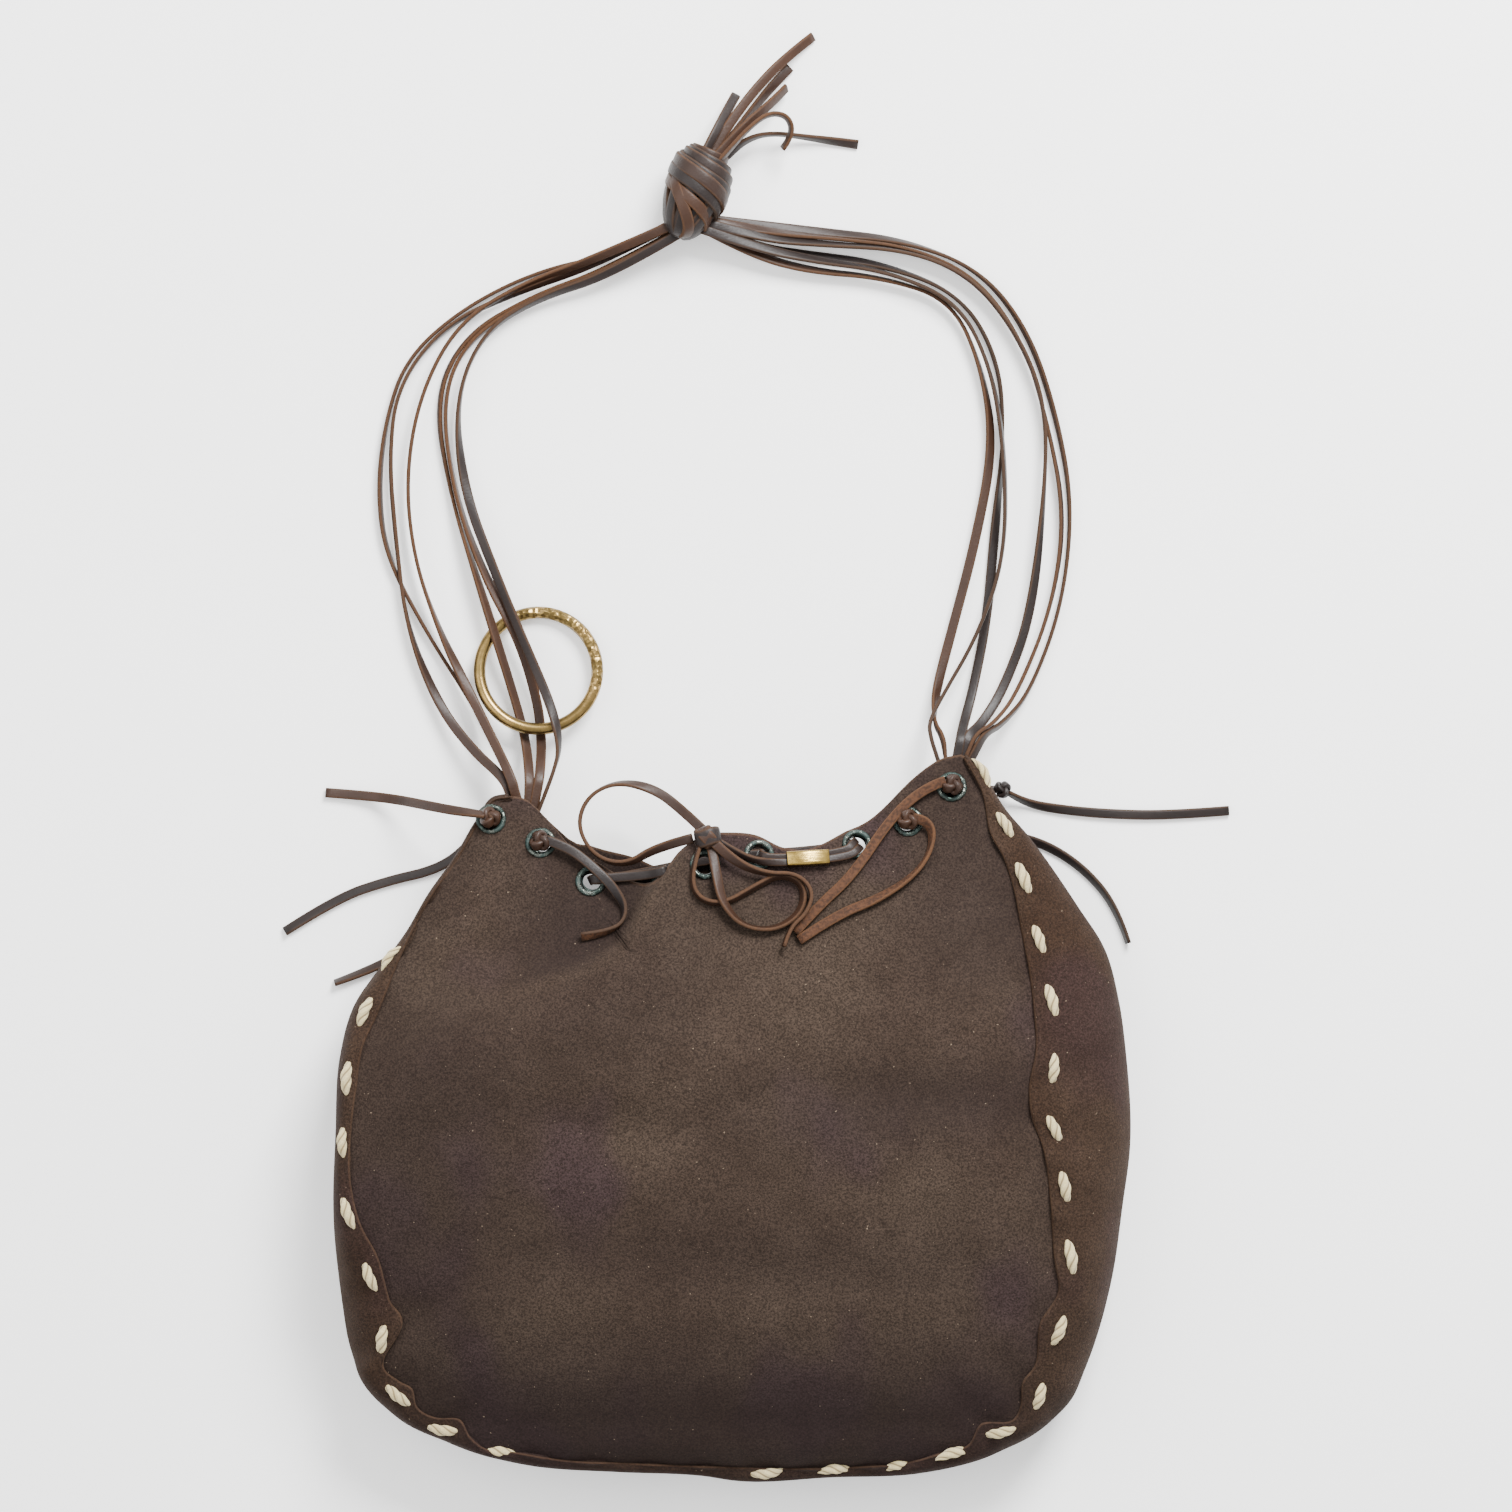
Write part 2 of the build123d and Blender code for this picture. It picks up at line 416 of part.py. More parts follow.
def seam_direction(x, y):
    """The turn, in degrees, of the outline beside a point."""
    near = min(range(1, len(OUTLINE) - 1), key=lambda i: hypot(OUTLINE[i][0] - x, OUTLINE[i][1] - y))
    x0, y0, _ = OUTLINE[near - 1]
    x1, y1, _ = OUTLINE[near + 1]
    return degrees(atan2(y1 - y0, x1 - x0))


def surface_under(shape, x, y):
    """Height and normal of a shape's upper skin straight below a point high above it."""
    line = Axis((x, y, FAR), (0, 0, -1))
    hits = shape.find_intersection_points(line)
    point, normal = max(hits, key=lambda hit: hit[0].Z)
    return point, normal if normal.Z > 0 else -normal


def front_stitches(gusset):
    stitches = []
    for x, y in FRONT_STITCHES:
        point, normal = surface_under(gusset, x, y)
        turn = radians(seam_direction(x, y))
        along = Vector(cos(turn), sin(turn), 0)
        along = along - normal * along.dot(normal)
        stitches.append(Plane(point, x_dir=along, z_dir=normal) * stitch())
    return stitches


def back_stitches():
    """Short stitches through the gusset where it folds in under the back panel's edge."""
    corners = [(x, y) for x, y, _ in OUTLINE]
    seam = inset(corners, [BACK_INSET + 1.0] * len(OUTLINE))
    stitches = []
    for i in range(1, len(seam) - 1, BACK_STITCH_SPACING):
        x, y = seam[i]
        if y > BACK_STITCHES_BELOW:
            continue
        turn = seam_direction(*corners[i])
        stitches.append(Pos(x, y, back_height(y) + LEATHER) * Rot(0, 0, turn)
                        * Cylinder(1.0, STITCH_LENGTH * 0.8, rotation=(0, 90, 0)))
    return stitches


def save(name, *solids):
    whole = solids[0] if len(solids) == 1 else Compound(list(solids))
    whole.label = name
    export_step(whole, f"parts/{name}.step")


def main():
    os.makedirs("parts", exist_ok=True)
    front, back, gusset = bag_panels()
    front_places = [on_front(x, y) for x, y in EYELETS]
    back_places = [on_back(x, y) for x, y in EYELETS[:-1] + [RIGHT_BACK_EYELET]]
    stitches = front_stitches(gusset)
    for place in front_places:
        front = front - place * punch()
    for place in back_places:
        back = back - place * punch()
    for place in (front_places[0], front_places[-1], back_places[0], back_places[-1]):
        gusset = gusset - place * seat()
    save("front_panel", largest(front))
    save("back_panel", largest(back))
    save("side_gusset", largest(gusset))
    save("front_seam_stitches", *stitches)
    save("back_seam_stitches", *back_stitches())
    save("front_eyelets", *[place * eyelet() for place in front_places])
    save("front_eyelet_washers", *[place * washer() for place in front_places])
    save("back_eyelets", *[place * eyelet() for place in back_places])
    save("back_eyelet_washers", *[place * washer() for place in back_places])

    for side, routes in (("left", STRAP_LEFT), ("right", STRAP_RIGHT)):
        for number, route in enumerate(routes, start=1):
            name = f"strap_lace_{side}_{number}"
            save(name, lace(route, name))
    for number, route in enumerate(KNOT_ENDS, start=1):
        name = f"strap_knot_end_{number}"
        save(name, lace(route, name))
    save("strap_knot", strap_knot())
    save("carry_ring", ring())

    save("lace_roots_left", *[lace(route, "root left") for route in ROOTS_LEFT])
    save("lace_roots_right", *[lace(route, "root right") for route in ROOTS_RIGHT])
    for name, route in TAILS.items():
        save(name, lace(route, name))
    for name, route in (FRONT_TAILS | DRAWSTRING).items():
        save(name, lace(front_route(route), name))
    save("drawstring_back", lace(DRAWSTRING_BACK, "drawstring_back"))
    save("bow_knot", egg((*BOW_KNOT, front_height(BOW_KNOT[1]) + BOW_KNOT_LIFT), BOW_KNOT_HALVES))
    save("drawstring_slider", slider())
    for side, places in (("left", FRONT_STOPPERS[:2]), ("right", FRONT_STOPPERS[2:])):
        knots = [on_front(x, y) * Pos(0, 0, STOPPER_LIFT) * Sphere(STOPPER_RADIUS) for x, y in places]
        save(f"stopper_knots_front_{side}", *knots)
    back_knots = [on_back(x, y) * Pos(0, 0, BACK_STOPPER_LIFT) * Sphere(BACK_STOPPER_RADIUS)
                  for x, y in BACK_STOPPERS]
    save("stopper_knots_back_left", *back_knots[:2])
    save("stopper_knots_back_right", back_knots[2], Pos(*OUTER_STOPPER) * Sphere(BACK_STOPPER_RADIUS))


if __name__ == "__main__":
    main()
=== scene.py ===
# %% [markdown]
# # A drawstring shoulder bag of brown suede
#
# The bag lies on its back on a pale floor, filled out so that it is fullest below its middle. Two suede
# panels, front and back, are joined by a side gusset that laps over them and is sewn down with thick rope.
# Leather laces run through brass eyelets at the mouth, and twelve long laces knotted together are the strap.
#
# Everything here is in metres, in the frame of the CAD model: +Z is up out of the front, +Y runs from the
# foot to the mouth, and the floor is at height 0.

from math import cos, pi, radians, sin

import bpy
import numpy as np
from mathutils import Matrix, Vector


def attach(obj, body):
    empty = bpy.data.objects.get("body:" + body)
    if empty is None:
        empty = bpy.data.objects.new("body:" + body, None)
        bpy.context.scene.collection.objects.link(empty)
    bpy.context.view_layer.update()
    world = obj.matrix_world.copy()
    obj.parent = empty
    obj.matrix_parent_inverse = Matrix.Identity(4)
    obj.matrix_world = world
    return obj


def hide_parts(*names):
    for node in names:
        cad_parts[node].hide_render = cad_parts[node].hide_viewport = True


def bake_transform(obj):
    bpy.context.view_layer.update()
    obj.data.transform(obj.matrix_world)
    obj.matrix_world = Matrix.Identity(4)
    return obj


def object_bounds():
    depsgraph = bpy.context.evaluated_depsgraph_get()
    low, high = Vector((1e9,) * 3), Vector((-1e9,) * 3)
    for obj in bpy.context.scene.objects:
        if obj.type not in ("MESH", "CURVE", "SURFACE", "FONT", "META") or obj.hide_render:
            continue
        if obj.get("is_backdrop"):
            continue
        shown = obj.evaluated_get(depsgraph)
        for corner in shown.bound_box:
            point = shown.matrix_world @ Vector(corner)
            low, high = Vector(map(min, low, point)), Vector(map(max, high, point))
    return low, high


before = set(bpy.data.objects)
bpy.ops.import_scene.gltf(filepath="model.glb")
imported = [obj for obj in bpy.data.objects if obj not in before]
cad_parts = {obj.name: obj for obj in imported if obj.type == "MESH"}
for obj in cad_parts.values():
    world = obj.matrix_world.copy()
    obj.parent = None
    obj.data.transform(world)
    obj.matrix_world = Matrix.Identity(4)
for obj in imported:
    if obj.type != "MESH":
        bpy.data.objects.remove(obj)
cad_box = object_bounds()
print("CAD box", [[round(v, 4) for v in corner] for corner in cad_box])

LEATHER = 0.002          # thickness of the suede
MM = 0.001


# %% [markdown]
# ## The camera, the floor and the light
#
# The bag is seen from straight above, as it would be on a table under a copy stand. The floor is nearly
# white. One large soft light comes from beyond the strap, a weaker one fills from the left, and the sky is an
# even white, so that the shadows stay soft.

# %% Camera, floor and lights
VIEW_CENTRE = (0.0077, 0.1198)
VIEW_WIDTH = 0.504
LENS = 180.0
SENSOR = 36.0


def camera():
    data = bpy.data.cameras.new("camera")
    data.lens = LENS
    data.sensor_width = SENSOR
    data.clip_start = 0.05
    looking = bpy.data.objects.new("camera", data)
    looking.location = (*VIEW_CENTRE, VIEW_WIDTH * LENS / SENSOR)
    bpy.context.collection.objects.link(looking)
    bpy.context.scene.camera = looking
    return looking


def light(name, place, towards, size, power):
    data = bpy.data.lights.new(name, "AREA")
    data.size = size
    data.energy = power
    lamp = bpy.data.objects.new(name, data)
    lamp.location = place
    lamp.rotation_euler = (Vector(towards) - Vector(place)).to_track_quat("-Z", "Y").to_euler()
    bpy.context.collection.objects.link(lamp)


def sky(strength):
    world = bpy.data.worlds.new("sky")
    world.use_nodes = True
    background = world.node_tree.nodes["Background"]
    background.inputs["Color"].default_value = (1.0, 1.0, 1.0, 1.0)
    background.inputs["Strength"].default_value = strength
    bpy.context.scene.world = world


camera()
sky(1.30)
light("key", (0.45, 1.05, 1.05), (0, 0.0, 0), 0.6, 66.0)
light("fill", (-0.8, 0.3, 1.1), (0, 0.05, 0), 1.0, 9.0)
print(f"camera {VIEW_WIDTH * LENS / SENSOR:.3f} m above the floor")


# %% [markdown]
# ## Small tools for shapes
#
# A leather bag is made of sheets and strips. Four small tools make nearly all of it: a smooth line through
# a few points, a mesh from rings of points, a strip that follows a line, and a way to repeat one piece at
# many places.

# %% Smooth numbers
def step(low, high, value):
    """0 below low, 1 above high, and a soft rise in between; low may be the larger."""
    t = np.clip((np.asarray(value, float) - low) / (high - low), 0.0, 1.0)
    return t * t * (3.0 - 2.0 * t)


def through(xs, ys, at):
    """A smooth line through points with rising xs, read at several places."""
    xs, ys = np.asarray(xs, float), np.asarray(ys, float)
    at = np.clip(np.asarray(at, float), xs[0], xs[-1])
    slope = np.gradient(ys, xs)
    i = np.clip(np.searchsorted(xs, at) - 1, 0, len(xs) - 2)
    gap = xs[i + 1] - xs[i]
    t = (at - xs[i]) / gap
    ends = ys[i] * (1 + 2 * t) * (1 - t) ** 2 + ys[i + 1] * t ** 2 * (3 - 2 * t)
    bends = slope[i] * gap * t * (1 - t) ** 2 - slope[i + 1] * gap * t ** 2 * (1 - t)
    return ends + bends


def unit(vectors):
    """Vectors cut to length 1, one in each row."""
    vectors = np.asarray(vectors, float)
    return vectors / np.maximum(np.linalg.norm(vectors, axis=-1, keepdims=True), 1e-9)


# %% Meshes from rings, and repeats
def mesh_object(name, points, faces, attributes=()):
    """A smooth-shaded mesh, with one number at each point for each named attribute."""
    mesh = bpy.data.meshes.new(name)
    mesh.from_pydata([tuple(p) for p in points], [], faces)
    mesh.shade_smooth()
    for key, values in dict(attributes).items():
        attribute = mesh.attributes.new(key, "FLOAT", "POINT")
        attribute.data.foreach_set("value", np.asarray(values, np.float32).ravel())
    made = bpy.data.objects.new(name, mesh)
    bpy.context.collection.objects.link(made)
    return made


def ring_faces(rows, columns, closed_rows=False):
    """Faces between rows of points, each row a closed loop."""
    faces = []
    for i in range(rows if closed_rows else rows - 1):
        a, b = i * columns, (i + 1) % rows * columns
        for j in range(columns):
            k = (j + 1) % columns
            faces.append((a + j, a + k, b + k, b + j))
    return faces


def join(name, objects):
    """Several meshes as one, with their attributes."""
    with bpy.context.temp_override(active_object=objects[0], selected_editable_objects=objects):
        bpy.ops.object.join()
    objects[0].name = name
    objects[0].data.name = name
    return objects[0]


def repeat_tree():
    """Nodes that put a piece at every point, its Z along "out" and its X along "along"."""
    tree = bpy.data.node_groups.new("repeat a piece", "GeometryNodeTree")
    for label, kind in (("Geometry", "Geometry"), ("Piece", "Object"), ("Spread", "Float"),
                        ("Seed", "Int"), ("Material", "Material")):
        tree.interface.new_socket(label, in_out="INPUT", socket_type=f"NodeSocket{kind}")
    tree.interface.new_socket("Geometry", in_out="OUTPUT", socket_type="NodeSocketGeometry")
    nodes, link = tree.nodes, tree.links.new
    start, end = nodes.new("NodeGroupInput"), nodes.new("NodeGroupOutput")

    def direction(label):
        read = nodes.new("GeometryNodeInputNamedAttribute")
        read.data_type = "FLOAT_VECTOR"
        read.inputs["Name"].default_value = label
        return read.outputs["Attribute"]

    turn = nodes.new("FunctionNodeAxesToRotation")
    turn.primary_axis, turn.secondary_axis = "Z", "X"
    link(direction("out"), turn.inputs["Primary Axis"])
    link(direction("along"), turn.inputs["Secondary Axis"])
    piece = nodes.new("GeometryNodeObjectInfo")
    link(start.outputs["Piece"], piece.inputs["Object"])
    size = nodes.new("FunctionNodeRandomValue")
    link(start.outputs["Seed"], size.inputs["Seed"])
    for label, operation in (("Min", "SUBTRACT"), ("Max", "ADD")):
        limit = nodes.new("ShaderNodeMath")
        limit.operation = operation
        limit.inputs[0].default_value = 1.0
        link(start.outputs["Spread"], limit.inputs[1])
        target = [s for s in size.inputs if s.name == label and s.type == "VALUE"][0]
        link(limit.outputs[0], target)
    put = nodes.new("GeometryNodeInstanceOnPoints")
    link(start.outputs["Geometry"], put.inputs["Points"])
    link(piece.outputs["Geometry"], put.inputs["Instance"])
    link(turn.outputs["Rotation"], put.inputs["Rotation"])
    link([s for s in size.outputs if s.type == "VALUE"][0], put.inputs["Scale"])
    real = nodes.new("GeometryNodeRealizeInstances")
    link(put.outputs["Instances"], real.inputs["Geometry"])
    paint = nodes.new("GeometryNodeSetMaterial")
    link(real.outputs["Geometry"], paint.inputs["Geometry"])
    link(start.outputs["Material"], paint.inputs["Material"])
    link(paint.outputs["Geometry"], end.inputs["Geometry"])
    return tree


REPEAT = repeat_tree()


def repeated(name, piece, places, material, spread=0.0, seed=1):
    """One mesh of a piece set at places, each a point, the way out and the way along."""
    mesh = bpy.data.meshes.new("places")
    mesh.from_pydata([tuple(point) for point, _, _ in places], [], [])
    for label, column in (("out", 1), ("along", 2)):
        attribute = mesh.attributes.new(label, "FLOAT_VECTOR", "POINT")
        attribute.data.foreach_set("vector", np.array([place[column] for place in places], float).ravel())
    carrier = bpy.data.objects.new("places", mesh)
    bpy.context.collection.objects.link(carrier)
    modifier = carrier.modifiers.new("repeat", "NODES")
    modifier.node_group = REPEAT
    values = {"Piece": piece, "Spread": spread, "Seed": seed, "Material": material}
    for socket in REPEAT.interface.items_tree:
        if socket.in_out == "INPUT" and socket.name in values:
            modifier[socket.identifier] = values[socket.name]
    bpy.context.view_layer.update()
    ready = carrier.evaluated_get(bpy.context.evaluated_depsgraph_get())
    made = bpy.data.objects.new(name, bpy.data.meshes.new_from_object(ready))
    bpy.context.collection.objects.link(made)
    made.data.name = name
    bpy.data.objects.remove(carrier)
    bpy.data.objects.remove(piece)
    return made


# %% [markdown]
# ### Lines and strips
#
# A lace takes a smooth line through space, and its strip can lie flat, stand on its edge or twist between
# the two, which is what makes a bundle of flat laces look alive. The line is a NURBS spline with the
# lace's route as its control points. A strip is cut from grained hide, so one side is smooth and glossy
# and the other is the rough flesh side; the attribute "grain" says which.

# %% Lines and strips
LACE_WIDTH = 0.0033
LACE_THICKNESS = 0.0013
SECTION_POINTS = 14


def smooth_line(points, resolution=10):
    """Points read along the smooth line that a route's points pull a lace into."""
    curve = bpy.data.curves.new("line", "CURVE")
    curve.dimensions = "3D"
    curve.resolution_u = resolution
    spline = curve.splines.new("NURBS")
    spline.points.add(len(points) - 1)
    for place, point in zip(spline.points, points):
        place.co = (*point, 1.0)
    spline.order_u = 3
    spline.use_endpoint_u = True
    holder = bpy.data.objects.new("line", curve)
    bpy.context.collection.objects.link(holder)
    mesh = bpy.data.meshes.new_from_object(holder)
    line = np.array([v.co for v in mesh.vertices])
    bpy.data.objects.remove(holder)
    return line


def lengths_along(line):
    return np.concatenate([[0.0], np.cumsum(np.linalg.norm(np.diff(line, axis=0), axis=1))])


def frames(line, closed=False):
    """The way along, the way to the side and the way up at each point of a line."""
    if closed:
        along = unit(np.roll(line, -1, axis=0) - np.roll(line, 1, axis=0))
    else:
        along = unit(np.gradient(line, axis=0))
    side = np.cross((0.0, 0.0, 1.0), along)
    level = np.linalg.norm(side, axis=1)
    side = unit(side)
    last = side[np.argmax(level > 0.3)]
    for i in range(len(line)):
        if level[i] < 0.3:
            side[i] = unit(last - along[i] * np.dot(last, along[i]))
        last = side[i]
    return along, side, np.cross(along, side)


def strip(name, line, width=LACE_WIDTH, thickness=LACE_THICKNESS, turns=((0, 0), (1, 0)), ground=None,
          tone=0.5, out=None, closed=False, grain_only=False):
    """A strip of leather along a line. turns are (share of the length, degrees), and 0 is flat.

    Returns the mesh object and the line that it really follows, which ground lifts clear.
    """
    line = np.array(line, float)
    share = lengths_along(line) / lengths_along(line)[-1]
    angle = np.radians(through([s for s, _ in turns], [a for _, a in turns], share))
    along, side, up = frames(line, closed)
    if out is not None:
        up = unit(out - along * np.sum(out * along, axis=1, keepdims=True))
        side = np.cross(up, along)
    wide = side * np.cos(angle)[:, None] + up * np.sin(angle)[:, None]
    thin = up * np.cos(angle)[:, None] - side * np.sin(angle)[:, None]
    around = np.arange(SECTION_POINTS) * 2 * pi / SECTION_POINTS
    across = np.sign(np.cos(around)) * np.abs(np.cos(around)) ** 0.5
    height = np.sign(np.sin(around)) * np.abs(np.sin(around)) ** 0.5
    offsets = (wide[:, None, :] * (across * width / 2)[None, :, None]
               + thin[:, None, :] * (height * thickness / 2)[None, :, None])
    points = line[:, None, :] + offsets
    if ground is not None:
        low = ground(points[..., 0], points[..., 1]) + 0.1 * MM - points[..., 2]
        lift = np.maximum(low.max(axis=1), 0.0)
        lift = np.maximum(lift, np.convolve(np.pad(lift, 3, mode="edge"), np.ones(7) / 7, mode="valid"))
        line[:, 2] += lift
        points[..., 2] += lift[:, None]
    rows = len(line)
    faces = ring_faces(rows, SECTION_POINTS, closed)
    if not closed:
        faces.append(tuple(range(SECTION_POINTS))[::-1])
        faces.append(tuple((rows - 1) * SECTION_POINTS + j for j in range(SECTION_POINTS)))
    faces = [face[::-1] for face in faces]
    made = mesh_object(name, points.reshape(-1, 3), faces, {
        "grain": np.tile(np.maximum(height, 1.0) if grain_only else height, rows),
        "along": np.repeat(lengths_along(line), SECTION_POINTS),
        "tone": np.full(rows * SECTION_POINTS, tone)})
    return made, line


# %% [markdown]
# ## Materials
#
# Suede is the split side of the hide, brushed to a nap: it has no shine at all, its colour shifts in large
# soft patches where the nap is brushed another way, and single fibres catch the light. The laces are the
# opposite, a greased grain side over an orange-brown flesh side. The metal is plated brass that has aged:
# gold where it is rubbed, olive in between, and green where the eyelets have reacted with the leather.

# %% Shader arithmetic
class Value:
    """A shader socket that plain arithmetic works on."""

    def __init__(self, tree, socket):
        self.tree = tree
        self.socket = socket

    def maths(self, operation, *others, swap=False):
        node = self.tree.nodes.new("ShaderNodeMath")
        node.operation = operation
        terms = [self, *others]
        if swap:
            terms.reverse()
        for socket, term in zip(node.inputs, terms):
            feed(self.tree, socket, term)
        return Value(self.tree, node.outputs[0])

    def __add__(self, other):
        return self.maths("ADD", other)

    def __sub__(self, other):
        return self.maths("SUBTRACT", other)

    def __rsub__(self, other):
        return self.maths("SUBTRACT", other, swap=True)

    def __mul__(self, other):
        return self.maths("MULTIPLY", other)

    __radd__ = __add__
    __rmul__ = __mul__


def feed(tree, socket, term):
    """Links a value to a socket, or sets the socket to a plain number or colour."""
    if isinstance(term, Value):
        tree.links.new(term.socket, socket)
    elif term is not None:
        socket.default_value = term


def colour(red, green, blue):
    """A colour given as 0 to 255, in the linear light that the shaders work in."""
    linear = [((c / 255 + 0.055) / 1.055) ** 2.4 for c in (red, green, blue)]
    return (*linear, 1.0)


class Finish:
    """A material, with short ways to the few nodes that its colours need."""

    def __init__(self, name, **constants):
        self.material = bpy.data.materials.new(name)
        self.material.use_nodes = True
        self.tree = self.material.node_tree
        self.shader = self.tree.nodes["Principled BSDF"]
        self.place = self.node("ShaderNodeTexCoord", "Object")
        self.set(**constants)

    def node(self, kind, output=0, settings=(), inputs=()):
        """Any node: its settings, its inputs by name or number, and the output wanted."""
        node = self.tree.nodes.new(kind)
        for key, value in dict(settings).items():
            setattr(node, key, value)
        for key, value in dict(inputs).items():
            feed(self.tree, node.inputs[key], value)
        return Value(self.tree, node.outputs[output])

    def noise(self, scale, detail=3.0, roughness=0.55, at=None):
        """Cloudy noise of so many patches to the metre, from about 0 to 1."""
        return self.node("ShaderNodeTexNoise", 0, (), {
            "Vector": at or self.place, "Scale": scale, "Detail": detail, "Roughness": roughness})

    def stretched(self, x, y, z, at=None):
        """The place, scaled by its own number each way."""
        return self.node("ShaderNodeVectorMath", 0, {"operation": "MULTIPLY"},
                         {0: at or self.place, 1: (x, y, z)})

    def attribute(self, name):
        return self.node("ShaderNodeAttribute", "Fac", {"attribute_name": name})

    def parts(self):
        """The place's x, y and z."""
        return [self.node("ShaderNodeSeparateXYZ", i, (), {0: self.place}) for i in range(3)]

    def rise(self, value, low, high):
        """0 below low, 1 above high."""
        return self.node("ShaderNodeMapRange", 0, {"interpolation_type": "SMOOTHSTEP"},
                         {"Value": value, "From Min": low, "From Max": high})

    def mix(self, share, first, second):
        node = self.tree.nodes.new("ShaderNodeMix")
        node.data_type = "RGBA"
        for name, term in (("Factor_Float", share), ("A_Color", first), ("B_Color", second)):
            socket = [s for s in node.inputs if s.identifier == name][0]
            feed(self.tree, socket, term)
        return Value(self.tree, [s for s in node.outputs if s.identifier == "Result_Color"][0])

    def bump(self, height, distance, strength=1.0):
        normal = self.node("ShaderNodeBump", 0, (), {"Height": height, "Distance": distance,
                                                     "Strength": strength})
        self.set(Normal=normal)

    def set(self, **inputs):
        for key, value in inputs.items():
            feed(self.tree, self.shader.inputs[key.replace("_", " ")], value)
        return self


# %% Suede
def suede(name, base, light_tone, dark_tone, hue_tone, painted_shade_tone=colour(27, 20, 20)):
    """Brushed suede: patches of nap, fine fibres, pale specks, a paler worn edge and painted shade that the
    mesh marks.
    """
    made = Finish(name, Specular_IOR_Level=0.08, Sheen_Weight=0.04, Sheen_Roughness=0.5)
    made.shader.inputs["Sheen Tint"].default_value = colour(190, 165, 150)
    patches = made.rise(made.noise(14.0, 2.0), 0.38, 0.62)
    hue = made.rise(made.noise(19.0, 2.0, at=made.stretched(1.0, 0.7, 1.3)), 0.50, 0.66)
    clouds = made.rise(made.noise(95.0, 4.0, 0.6), 0.34, 0.68)
    nap = made.noise(1500.0, 3.0, 0.7)
    fibres = made.noise(3800.0, 2.0, 0.8, made.stretched(1.0, 0.55, 1.0))
    shade = made.mix(patches, base, light_tone)
    shade = made.mix(hue * 0.75, shade, hue_tone)
    shade = made.mix(clouds * 0.17, shade, dark_tone)
    shade = made.mix(made.rise(nap, 0.36, 0.64) * 0.74 + 0.26, dark_tone, shade)
    shade = made.mix(made.rise(fibres, 0.60, 0.80) * 0.6, shade, colour(104, 88, 76))
    # Painted shade: where the mesh marks shade, the suede is mixed towards a dark tone.
    shade = made.mix(made.attribute("hollow") * 0.62, shade, painted_shade_tone)
    specks = made.rise(made.noise(900.0, 1.0), 0.775, 0.80)
    shade = made.mix(specks * 0.4, shade, colour(150, 132, 112))
    edge = made.attribute("edge")
    shade = made.mix(made.rise(edge + made.noise(700.0) * 0.5, 0.85, 1.4) * 0.45, shade, colour(84, 62, 46))
    made.set(Base_Color=shade, Roughness=made.rise(clouds, 0.0, 1.0) * 0.08 + 0.90)
    made.bump(nap * 0.5 + fibres * 0.35 + made.noise(260.0, 3.0) * 0.8, 0.00035)
    return made.material


PANEL_SUEDE = suede("panel suede", colour(56, 45, 38), colour(63, 52, 44), colour(20, 15, 12),
                    colour(54, 41, 43))
GUSSET_SUEDE = suede("gusset suede", colour(50, 36, 27), colour(56, 43, 34), colour(19, 13, 10),
                     colour(48, 34, 33))


# %% [markdown]
# A lace is dyed and greased on its grain side, so that side is smooth and a little shiny. The flesh side is
# rough and orange-brown, and the cut edges are tan. One attribute says which side faces out, another how
# dark this lace was dyed, so one material serves them all.

# %% Lace leather
def lace_leather():
    """Grain side up to grain side down, with tan cut edges. "tone" runs from dark grey to orange-brown."""
    made = Finish("lace leather", Specular_IOR_Level=0.22)
    grain, tone, along = (made.attribute(name) for name in ("grain", "tone", "along"))
    running = made.node("ShaderNodeCombineXYZ", 0, (), {0: along * 90.0, 1: grain * 1.4, 2: tone * 30.0})
    streaks = made.noise(1.0, 4.0, 0.6, running)
    fine = made.noise(1400.0, 3.0, 0.6)
    dark = made.mix(streaks, colour(15, 11, 10), colour(37, 29, 27))
    brown = made.mix(streaks, colour(33, 20, 13), colour(60, 38, 25))
    smooth_side = made.mix(made.rise(tone, 0.2, 0.8), dark, brown)
    flesh = made.mix(made.rise(made.noise(900.0, 3.0), 0.35, 0.65), colour(46, 28, 17), colour(70, 44, 27))
    cut = made.mix(fine, colour(38, 25, 17), made.mix(tone, colour(56, 42, 32), colour(92, 60, 35)))
    shade = made.mix(made.rise(grain, 0.80, 0.97), cut, smooth_side)
    shade = made.mix(made.rise(grain * -1.0, 0.80, 0.97), shade, flesh)
    shine = made.rise(grain, 0.75, 0.97)
    made.set(Base_Color=shade, Roughness=0.82 - shine * 0.38 + (fine - 0.5) * 0.2, Coat_Weight=shine * 0.06,
             Coat_Roughness=0.3)
    made.bump(streaks * 0.6 + fine * 0.4, 0.00025)
    return made.material


LACE = lace_leather()


# %% [markdown]
# The seams' rope is left undyed. Its fibres run along the twist, and dust and shadow gather between the
# strands, so the shader darkens by the depth of the groove.

# %% Rope
def rope_fibre():
    """Undyed rope: pale fibres that run with the twist, dull between the strands."""
    made = Finish("rope", Roughness=0.95, Specular_IOR_Level=0.15, Sheen_Weight=0.3)
    groove, twist = made.attribute("groove"), made.attribute("twist")
    running = made.node("ShaderNodeCombineXYZ", 0, (), {0: groove * 2.0, 1: twist * 9.0, 2: groove * twist})
    fibres = made.noise(2.0, 4.0, 0.65, running)
    patch = made.noise(500.0, 2.0)
    pale = made.mix(patch, colour(216, 203, 158), colour(190, 172, 122))
    shade = made.mix(made.rise(fibres, 0.35, 0.7) * 0.6, pale, colour(146, 126, 86))
    shade = made.mix(made.rise(groove * -1.0, 0.45, 1.0) * 0.8, shade, colour(92, 74, 48))
    made.set(Base_Color=shade)
    made.bump(fibres + made.noise(2600.0) * 0.4, 0.0003)
    return made.material


ROPE = rope_fibre()


